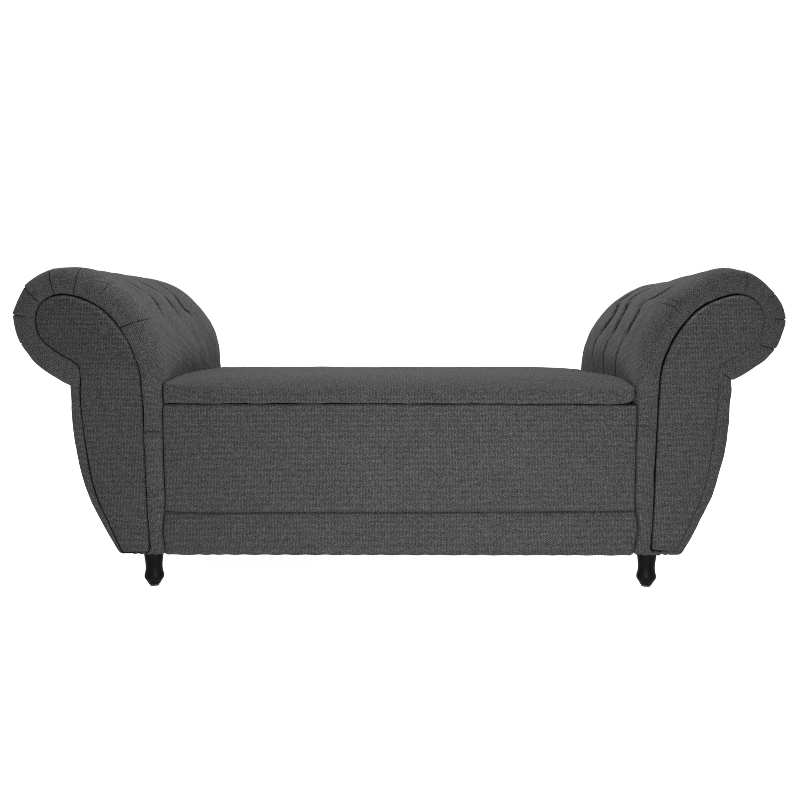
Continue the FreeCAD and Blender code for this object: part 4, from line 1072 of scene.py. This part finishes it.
# ------------------------------------------------------------------ facings
def build_facing(side, rear):
    left = side < 0
    tag = ("left_" if left else "right_") + ("arm_rear_facing" if rear else "arm_front_facing")
    loop = resample(FACE_OF[side], 3.2)[:-1]
    m = len(loop)
    p2, dv, which, faces, ring = fill_loop(loop, 4.6, (0.6, 1.4, 2.6, 4.4, 7.0))
    raw = resample(FACE_RAW, 3.2)[:-1]
    f_loop = np.array([FACE_S[int(np.argmin(np.hypot(*(FACE_RAW - p).T)))] for p in loop])
    s_loop = np.interp(f_loop, key_f, key_o)
    deep = crease_depth(s_loop, left)
    ker2 = np.hanning(15)
    ker2 /= ker2.sum()
    deep = np.convolve(np.concatenate([deep[-9:], deep, deep[:9]]), ker2, "same")[9:-9]
    dep = deep[which]
    wob = ripple(41 + side + 5 * rear, 14, 60, 220)
    fine = ripple(47 + side + 5 * rear, 12, 20, 50)
    rise = quarter(dv / 5.2)
    fy = -(280.0 - dep) - (dep - 0.6) * rise - 1.6 * (1 - np.exp(-(dv / 34.0) ** 2))
    fy -= (0.6 * wob(p2[:, 0], p2[:, 1]) + 0.16 * fine(p2[:, 0], p2[:, 1])) * rise
    fy += 0.28 * np.sin(s_loop[which] * 0.23 + wob(p2[:, 0], p2[:, 1]) * 2) * np.exp(-dv / 8.0) * rise
    v = np.stack([p2[:, 0], fy, p2[:, 1]], 1)
    base = len(v)
    v = np.concatenate([v, np.stack([loop[:, 0], np.full(m, -262.0), loop[:, 1]], 1)])
    for i in range(m):
        j = (i + 1) % m
        faces.append([ring[i], ring[j], base + j, base + i])
    uv = np.concatenate([p2, loop]) * np.array([side, 1.0]) + np.array([31.0 * side, 17.0 * rear])
    v[:, 0] *= side
    if rear:
        v[:, 1] *= -1
    # painted shade along the seam edge of the facing
    edge = seam_painted_shade(s_loop, left)
    edge = np.convolve(np.concatenate([edge[-9:], edge, edge[:9]]), ker2, "same")[9:-9]
    # painted highlight: the rim turned up to the light is painted a little paler
    rim = np.interp(s_loop - SEAT_S, [60, 130, 200, TOP_Q - 20, TOP_Q + 70],
                    [0.0, 0.6, 0.85, 0.6, 0.0] if left else [0.0, 0.0, 1.2, 1.6, 0.0])
    seam_shade_and_rim_highlight = edge[which] * (np.exp(-(dv / 1.3) ** 2) if left else np.exp(-(dv / 1.8) ** 4))
    seam_shade_and_rim_highlight = seam_shade_and_rim_highlight - rim[which] * np.exp(-((dv - 4.4) / (2.4 if left else 1.6)) ** 2)
    if left:
        # painted shade on the upper part of the left facing
        seam_shade_and_rim_highlight = seam_shade_and_rim_highlight + 0.09 * step((p2[:, 1] - 430.0) / 70.0) * (1 - np.clip(seam_shade_and_rim_highlight, 0, 1))
    ob = make(tag + "_cover", v, faces, uv, CLOTH, np.concatenate([seam_shade_and_rim_highlight, edge]))
    orient(ob, 1, rear)
    pin = np.concatenate([np.where(dv < 5.0, 1.0, 0.0), np.ones(m)])
    inflate(ob, 1.6, pin, 14, 0.0025, 18.0, 1.0)
    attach(ob, "frame")
    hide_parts(tag)
    return ob


for side in (-1, 1):
    build_facing(side, False)
    build_facing(side, True)


# ------------------------------------------------------------- padded panels
def pad_panel(name, node, x_half, z_low, z_high, y_back, y_front, radius, swell, seed, scallop=0.0,
              rear=False, over=None, bulge=0.0, low_radius=None, top_dz=None, low_dz=None, corners=(0.0, 0.0)):
    """Upholstered panel on a board: rounded edges, gently swollen face."""
    nx, nz = int(2 * x_half / 6.5), max(22, int((z_high - z_low) / 5.0))

    def crowd(count):
        u = np.linspace(-1, 1, count + 1)
        return np.sign(u) * (1 - (1 - np.abs(u)) ** 1.35)
    u = np.linspace(-1, 1, nx + 1)
    u = np.sign(u) * (1 - (1 - np.abs(u)) ** 1.12)
    X, W = np.meshgrid(u * x_half, crowd(nz))
    half_z, mid_z = (z_high - z_low) / 2, (z_high + z_low) / 2
    Z = W * half_z + mid_z
    dx, dz = x_half - np.abs(X), half_z - np.abs(Z - mid_z)
    fall = 1 - np.minimum(quarter(dx / (radius * 0.6)),
                          np.minimum(quarter((Z - z_low) / (low_radius or radius)), quarter((z_high - Z) / radius)))
    thick = abs(y_front - y_back)
    wob = ripple(seed, 16, 80, 300)
    fine = ripple(seed + 1, 14, 24, 60)
    near = np.minimum(dx, dz)
    h = thick - np.minimum(radius, thick - 1.0) * fall + swell * (1 - np.exp(-near / 40.0)) * (1 - fall)
    h = h + bulge * (1 - ((Z - mid_z) / half_z) ** 2) * quarter(dx / 40.0)
    h = h + (0.5 * wob(X, Z) + 0.15 * fine(X, Z)) * (1 - fall)
    h = h + 0.3 * np.exp(-near / 9.0) * np.sin(X * 0.17 + 2 * wob(X * 0.4, Z)) * (1 - fall)
    low_edge = np.exp(-(Z - z_low) / 10.0)
    if scallop:
        Z = Z + scallop * low_edge * (0.5 + 0.5 * np.sin(X * 2 * math.pi / 41.0 + 1.6 * wob(X, 0 * Z)))
    Z = Z + 0.6 * np.exp(-(z_high - Z) / 8.0) * wob(X * 1.4, 0 * X + 40)
    if top_dz:
        Z = Z + np.interp(X, *top_dz) * np.exp(-(z_high - W * half_z - mid_z) / 25.0)
    if low_dz:
        Z = Z + np.interp(X, *low_dz) * np.exp(-(W * half_z + mid_z - z_low) / 25.0)
    Z = Z + np.where(X > 0, corners[1], corners[0]) * np.exp(-(dx / 6.0) ** 2) * low_edge
    flat_x = np.abs(X).ravel()
    if not rear:                               # both ends reach to the arms
        X = X * np.where(X > 0, joint(1, Z), joint(-1, Z)) / x_half - np.sign(X) * 0.9 * np.abs(X) / x_half
    grid = np.stack([X, y_back + (1 if rear else -1) * h, Z], -1)
    pin = (near < radius + 3).astype(float)
    grid = settle(name + "_settling", grid, pin, False, 1.2, 0.002, 9.0, 12, 20.0, 1.0)
    rows, cols = grid.shape[:2]
    v = grid.reshape(-1, 3)
    faces = grid_faces(rows, cols).tolist()
    rim = [(0, c) for c in range(cols)] + [(r, cols - 1) for r in range(1, rows)] + \
          [(rows - 1, c) for c in range(cols - 2, -1, -1)] + [(r, 0) for r in range(rows - 2, 0, -1)]
    ids = [r * cols + c for r, c in rim]
    wall = v[ids].copy()
    wall[:, 1] = y_back
    if not rear:                               # clear of the arm covers behind their front edge
        wall[np.abs(wall[:, 0]) > 496.0, 1] = -264.3
        wall[:, 0] = np.clip(wall[:, 0], -508.0, 508.0)
    if over is not None:                       # cloth turned over the top edge of the board
        top = np.array([r == rows - 1 for r, c in rim])
        wall[top, 1] = over
        wall[top, 0] = np.clip(wall[top, 0], -495.4, 495.4)
    base = len(v)
    v = np.concatenate([v, wall])
    for i in range(len(ids)):
        j = (i + 1) % len(ids)
        faces.append([ids[i], base + i, base + j, ids[j]])
    uv = np.stack([v[:, 0], v[:, 2]], 1)
    uv[base:, 1] += (v[base:, 1] - v[ids][:, 1]) * np.where(wall[:, 2] > mid_z, 1, -1)
    flat_x = np.concatenate([flat_x, flat_x[ids]])
    # painted shade where the ends of the panel meet the arms, deeper on the right
    panel_end_shade = np.exp(-((x_half - flat_x) / np.where(v[:, 0] > 0, 2.6, 1.5)) ** 2)
    panel_end_shade = panel_end_shade * np.where(v[:, 0] > 0, 0.95, 0.6)
    ob = make(name, v, faces, uv, CLOTH, panel_end_shade)
    orient(ob, 1, rear)
    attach(ob, "frame")
    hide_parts(node)
    return ob


pad_panel("front_panel_cover", "front_pad", 495.9, 171.6, 399.4, -262.0, -275.0, 5.0, 1.6, 101, over=-227.5,
          top_dz=PANEL_DZ, low_dz=SEAM_DZ)
pad_panel("plinth_cover", "plinth_pad", 496.2, 73.4, 171.1, -262.0, -272.0, 9.0, 1.0, 103, scallop=1.5,
          bulge=6.0, low_radius=3.0, top_dz=SEAM_DZ, corners=(3.0, 7.0))
pad_panel("back_panel_cover", "back_cover", 495.5, 80.0, 398.0, 262.0, 266.4, 3.2, 0.5, 107, rear=True,
          over=245.0)


# ---------------------------------------------------------------------- lid
def build_lid():
    hx, y0, y1, bottom = 495.7, -278.0, 268.0, 401.0
    r_fl, r_fr, r_rear = 6.5, 18.0, 14.0

    def arc(cx, cy, r, a0, a1):
        n = max(6, int(r * abs(a1 - a0) / 2.6))
        an = np.linspace(a0, a1, n)
        return np.stack([cx + r * np.cos(an), cy + r * np.sin(an)], 1)
    h = math.pi / 2
    loop = chain(arc(-hx + r_fl, y0 + r_fl, r_fl, 2 * h, 3 * h), arc(hx - r_fr, y0 + r_fr, r_fr, 3 * h, 4 * h),
                 arc(hx - r_rear, y1 - r_rear, r_rear, 0, h), arc(-hx + r_rear, y1 - r_rear, r_rear, h, 2 * h))
    loop = resample(chain(loop, loop[:1]), 5.0)[:-1]

    def half(py):
        """The lid narrows behind its front, clear of the arms that lean over it."""
        return 495.4 - 13.2 * step((py + 205.0) / 300.0) + 2.9 * (1 - step((py + 272.0) / 9.0))
    loop[:, 0] *= half(loop[:, 1]) / hx
    m = len(loop)
    p2, dv, which, faces, ring = fill_loop(loop, 7.5, (1.0, 2.4, 4.5, 7.5, 11.5))
    x, y = p2[:, 0] * hx / half(p2[:, 1]), p2[:, 1]

    def ends(px):
        return np.exp(-((px + hx) / 70.0) ** 2), np.exp(-((hx - px) / 80.0) ** 2)

    def shoulder(px, py):
        """Height where the upright edge turns over into the top."""
        el, er = ends(px)
        f = np.interp(py, [y0, y0 + 70, y1 - 60, y1], [1.0, 0.0, 0.0, 0.0])
        r = np.interp(py, [y0, y1 - 60, y1], [0.0, 0.0, 1.0])
        z = 432.0 + f * (-10.0 + 19.0 * el + 2.0 * er) - 4.0 * r
        return z

    el, er = ends(x)
    crown = np.interp(y, [y0, -200, -134, 0, 91, y1], [452.5, 456.0, 456.5, 454.0, 451.5, 447.5])
    crown = crown - 6.0 * er * np.interp(y, [-278, -160], [1.4, 1.0]) - 5.0 * el * np.interp(y, [-200, -60], [1.0, 0.1])
    e_front = 0.62 * quarter((y - y0) / (44.0 - 16.0 * el)) + 0.38 * quarter((y - y0) / (110.0 - 60.0 * el))
    e_rear = quarter((y1 - y) / 40.0)
    e_left = quarter((x + hx) / 10.0)
    e_right = quarter((hx - x) / (20.0 + 12.0 * np.interp(y, [-278, -180], [1, 0])))
    turn = np.minimum(np.minimum(e_front, e_rear), np.minimum(e_left, e_right))
    turn = np.where(dv <= 0, 0.0, np.minimum(turn, quarter(dv / 9.0) * 0.25 + 0.75))
    zs = shoulder(x, y)
    z = zs + (crown - zs) * turn
    wob = ripple(201, 16, 90, 320)
    fine = ripple(202, 16, 26, 70)
    v = np.stack([p2[:, 0], y, z], 1)
    # upright edge, lip underneath and back to the lid board
    ring_pts = loop.copy()
    nr = np.roll(loop, -1, 0) - np.roll(loop, 1, 0)
    nr = np.stack([nr[:, 1], -nr[:, 0]], 1)
    nr /= np.linalg.norm(nr, axis=1, keepdims=True)
    prev = ring
    zt = shoulder(loop[:, 0], loop[:, 1])
    wave = 0.9 * wob(loop[:, 0] * 1.7, loop[:, 1] * 1.7 + 9) + 0.5 * fine(loop[:, 0], loop[:, 1])
    low = bottom + np.clip(0.5 + 0.8 * wave, 0.0, 1.6)
    low = low + np.interp(loop[:, 0], *LID_DZ) * (loop[:, 1] < -255.0)
    nose = np.exp(-(np.hypot(loop[:, 0] - hx, loop[:, 1] - y0 - 8.0) / 19.0) ** 2)
    low = low + 6.0 * nose
    pins = [np.zeros(len(v))]
    # painted shade along the joint against the arms
    arm_joint_shade = np.where(nr[:, 0] < -0.6, 0.85, np.where(nr[:, 0] > 0.6, 0.6, 0.0))
    painted_shades = [arm_joint_shade[which] * np.exp(-(dv / 2.2) ** 2)]
    steps = [(0.25, 0.6), (0.5, 1.0), (0.75, 0.8), (0.92, 0.0), (1.0, -2.2)]
    lips = []
    for f, out in steps:
        tuck = out - nose * np.interp(f, [0.0, 0.5, 0.75, 0.92, 1.0], [0.0, 0.0, 1.5, 4.5, 8.0])
        lips.append((loop + nr * tuck[:, None], zt * (1 - f) + low * f, 1.0 if f > 0.9 else 0.0))
    board = np.stack([np.clip(loop[:, 0], -478.3, 478.3), np.clip(loop[:, 1], -264.4, 262.4)], 1)
    under = np.stack([np.clip(loop[:, 0], -475.5, 475.5), np.clip(loop[:, 1], -262.2, 259.5)], 1)
    lips.append((board, np.full(m, 401.7), 1.0))
    lips.append((under, np.full(m, 401.6), 1.0))
    uvx, uvy = x.copy(), y.copy()
    uvx = uvx + np.sign(x) * (crown - z) * (np.abs(x) > 440)
    uvy = uvy - np.where(y < 0, 1, -1) * (crown - z) * (np.abs(x) <= 440 + 60 * (y < -200))
    uv = np.stack([uvx, uvy], 1)
    uv_ring = uv[ring]
    parts_v, parts_uv = [v], [uv]
    count = len(v)
    length = np.zeros(m)
    last = np.stack([loop[:, 0], loop[:, 1], zt], 1)
    for pts, zz, pin in lips:
        cur = np.stack([pts[:, 0], pts[:, 1], zz], 1)
        length = length + np.linalg.norm(cur - last, axis=1)
        last = cur
        parts_v.append(cur)
        away = np.stack([np.where(np.abs(nr[:, 0]) > 0.7, np.sign(nr[:, 0]), 0),
                         np.where(np.abs(nr[:, 0]) > 0.7, 0, np.sign(nr[:, 1]))], 1)
        parts_uv.append(uv_ring + away * length[:, None])
        ids = list(range(count, count + m))
        for i in range(m):
            j = (i + 1) % m
            faces.append([prev[i], prev[j], ids[j], ids[i]])
        pins.append(np.full(m, pin))
        painted_shades.append(arm_joint_shade)
        prev = ids
        count += m
    v = np.concatenate(parts_v)
    ob = make("lid_cushion", v, faces, np.concatenate(parts_uv), CLOTH, np.concatenate(painted_shades))
    orient(ob, 2, True)
    # the underside lies open, so the sum over all faces points up
    inflate(ob, 2.4, np.concatenate(pins), 18, 0.004, 14.0, 0.9)
    co = coords(ob) * 1000.0
    top = step((co[:, 2] - 418.0) / 25.0)
    co[:, 2] += (0.7 * wob(co[:, 0], co[:, 1]) + 0.12 * fine(co[:, 0], co[:, 1])) * top
    face = (co[:, 1] < -262) * (1 - top)
    co[:, 1] += (0.6 * wob(co[:, 0], co[:, 2] * 3 + 50) + 0.15 * fine(co[:, 0], co[:, 2] * 2)) * face
    wide = half(co[:, 1]) + 0.3
    co[:, 0] = np.clip(co[:, 0], -wide, wide)
    set_coords(ob, co * 0.001)
    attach(ob, "lid")
    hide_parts("lid_pad")
    return ob


build_lid()

# --------------------------------------------------------------------- legs
TURNED = [(9.5, 3.2), (11.4, 3.5), (14.4, 8.4), (17.7, 13.4), (20.3, 18.0), (20.8, 21.6), (20.0, 26.4),
          (18.8, 31.0), (17.9, 38.0), (17.9, 47.0), (19.0, 58.0), (20.3, 70.0), (20.5, 79.9)]
leg_prof = resample(smooth(TURNED, None, (0, 1)), 1.4)
for name, sx, sy in (("front_left_leg", -1, -1), ("front_right_leg", 1, -1),
                     ("rear_left_leg", -1, 1), ("rear_right_leg", 1, 1)):
    seg = 56
    an = np.linspace(0, 2 * math.pi, seg, endpoint=False)
    vv = np.stack([sx * 535.0 + leg_prof[:, :1] * np.cos(an)[None], sy * 240.0 + leg_prof[:, :1] * np.sin(an)[None],
                   np.broadcast_to(leg_prof[:, 1:], (len(leg_prof), seg))], -1).reshape(-1, 3)
    ff = grid_faces(len(leg_prof), seg, True).tolist()
    ff.append(list(range(seg))[::-1])
    last = (len(leg_prof) - 1) * seg
    ff.append([last + k for k in range(seg)])
    ob = make(name + "_turned", vv, ff, None, LEG)
    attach(ob, "frame")
    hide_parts(name)

# -------------------------------------------------------------------- stage
fl = node_tools("pale_floor")
obj = fl["new"]("ShaderNodeTexCoord").outputs["Object"]
nf = fl["noise"](fl["mapping"](obj, (3.0, 3.0, 3.0)), 1.0, 3.0, 0.5)
fl["join"](fl["ramp"](nf, [(0.3, (0.19, 0.19, 0.19)), (0.7, (0.21, 0.21, 0.21))]), fl["bs"].inputs["Base Color"])
fl["bs"].inputs["Roughness"].default_value = 0.9
fl["bs"].inputs["Emission Color"].default_value = (1.0, 1.0, 1.0, 1)
fl["bs"].inputs["Emission Strength"].default_value = 0.93
me = bpy.data.meshes.new("floor")
me.from_pydata([(-14, -14, 0), (14, -14, 0), (14, 14, 0), (-14, 14, 0)], [], [(0, 1, 2, 3)])
me.materials.append(fl["m"])
floor = bpy.data.objects.new("floor", me)
scene.collection.objects.link(floor)

world = bpy.data.worlds.new("studio")
scene.world = world
world.use_nodes = True
bg = world.node_tree.nodes["Background"]
bg.inputs[0].default_value = (1.0, 1.0, 1.0, 1)
bg.inputs[1].default_value = 1.0


def area(name, loc, aim, size, power):
    li = bpy.data.lights.new(name, "AREA")
    li.shape = "RECTANGLE"
    li.size, li.size_y = size
    li.energy = power
    ob = bpy.data.objects.new(name, li)
    ob.location = loc
    ob.rotation_euler = (Vector(aim) - Vector(loc)).to_track_quat("-Z", "Y").to_euler()
    ob.visible_camera = False
    scene.collection.objects.link(ob)


area("key", (0.13, -1.30, 0.24), (0.13, -0.28, 0.24), (0.6, 0.4), 21)
area("top", (0.0, 0.3, 2.6), (0, 0, 0.4), (1.6, 1.2), 86)
scene.view_settings.view_transform = "Standard"
scene.view_settings.look = "None"
# the weave is as fine as a pixel: keep it sharp
scene.cycles.filter_width = 0.85
scene.cycles.use_denoising = False
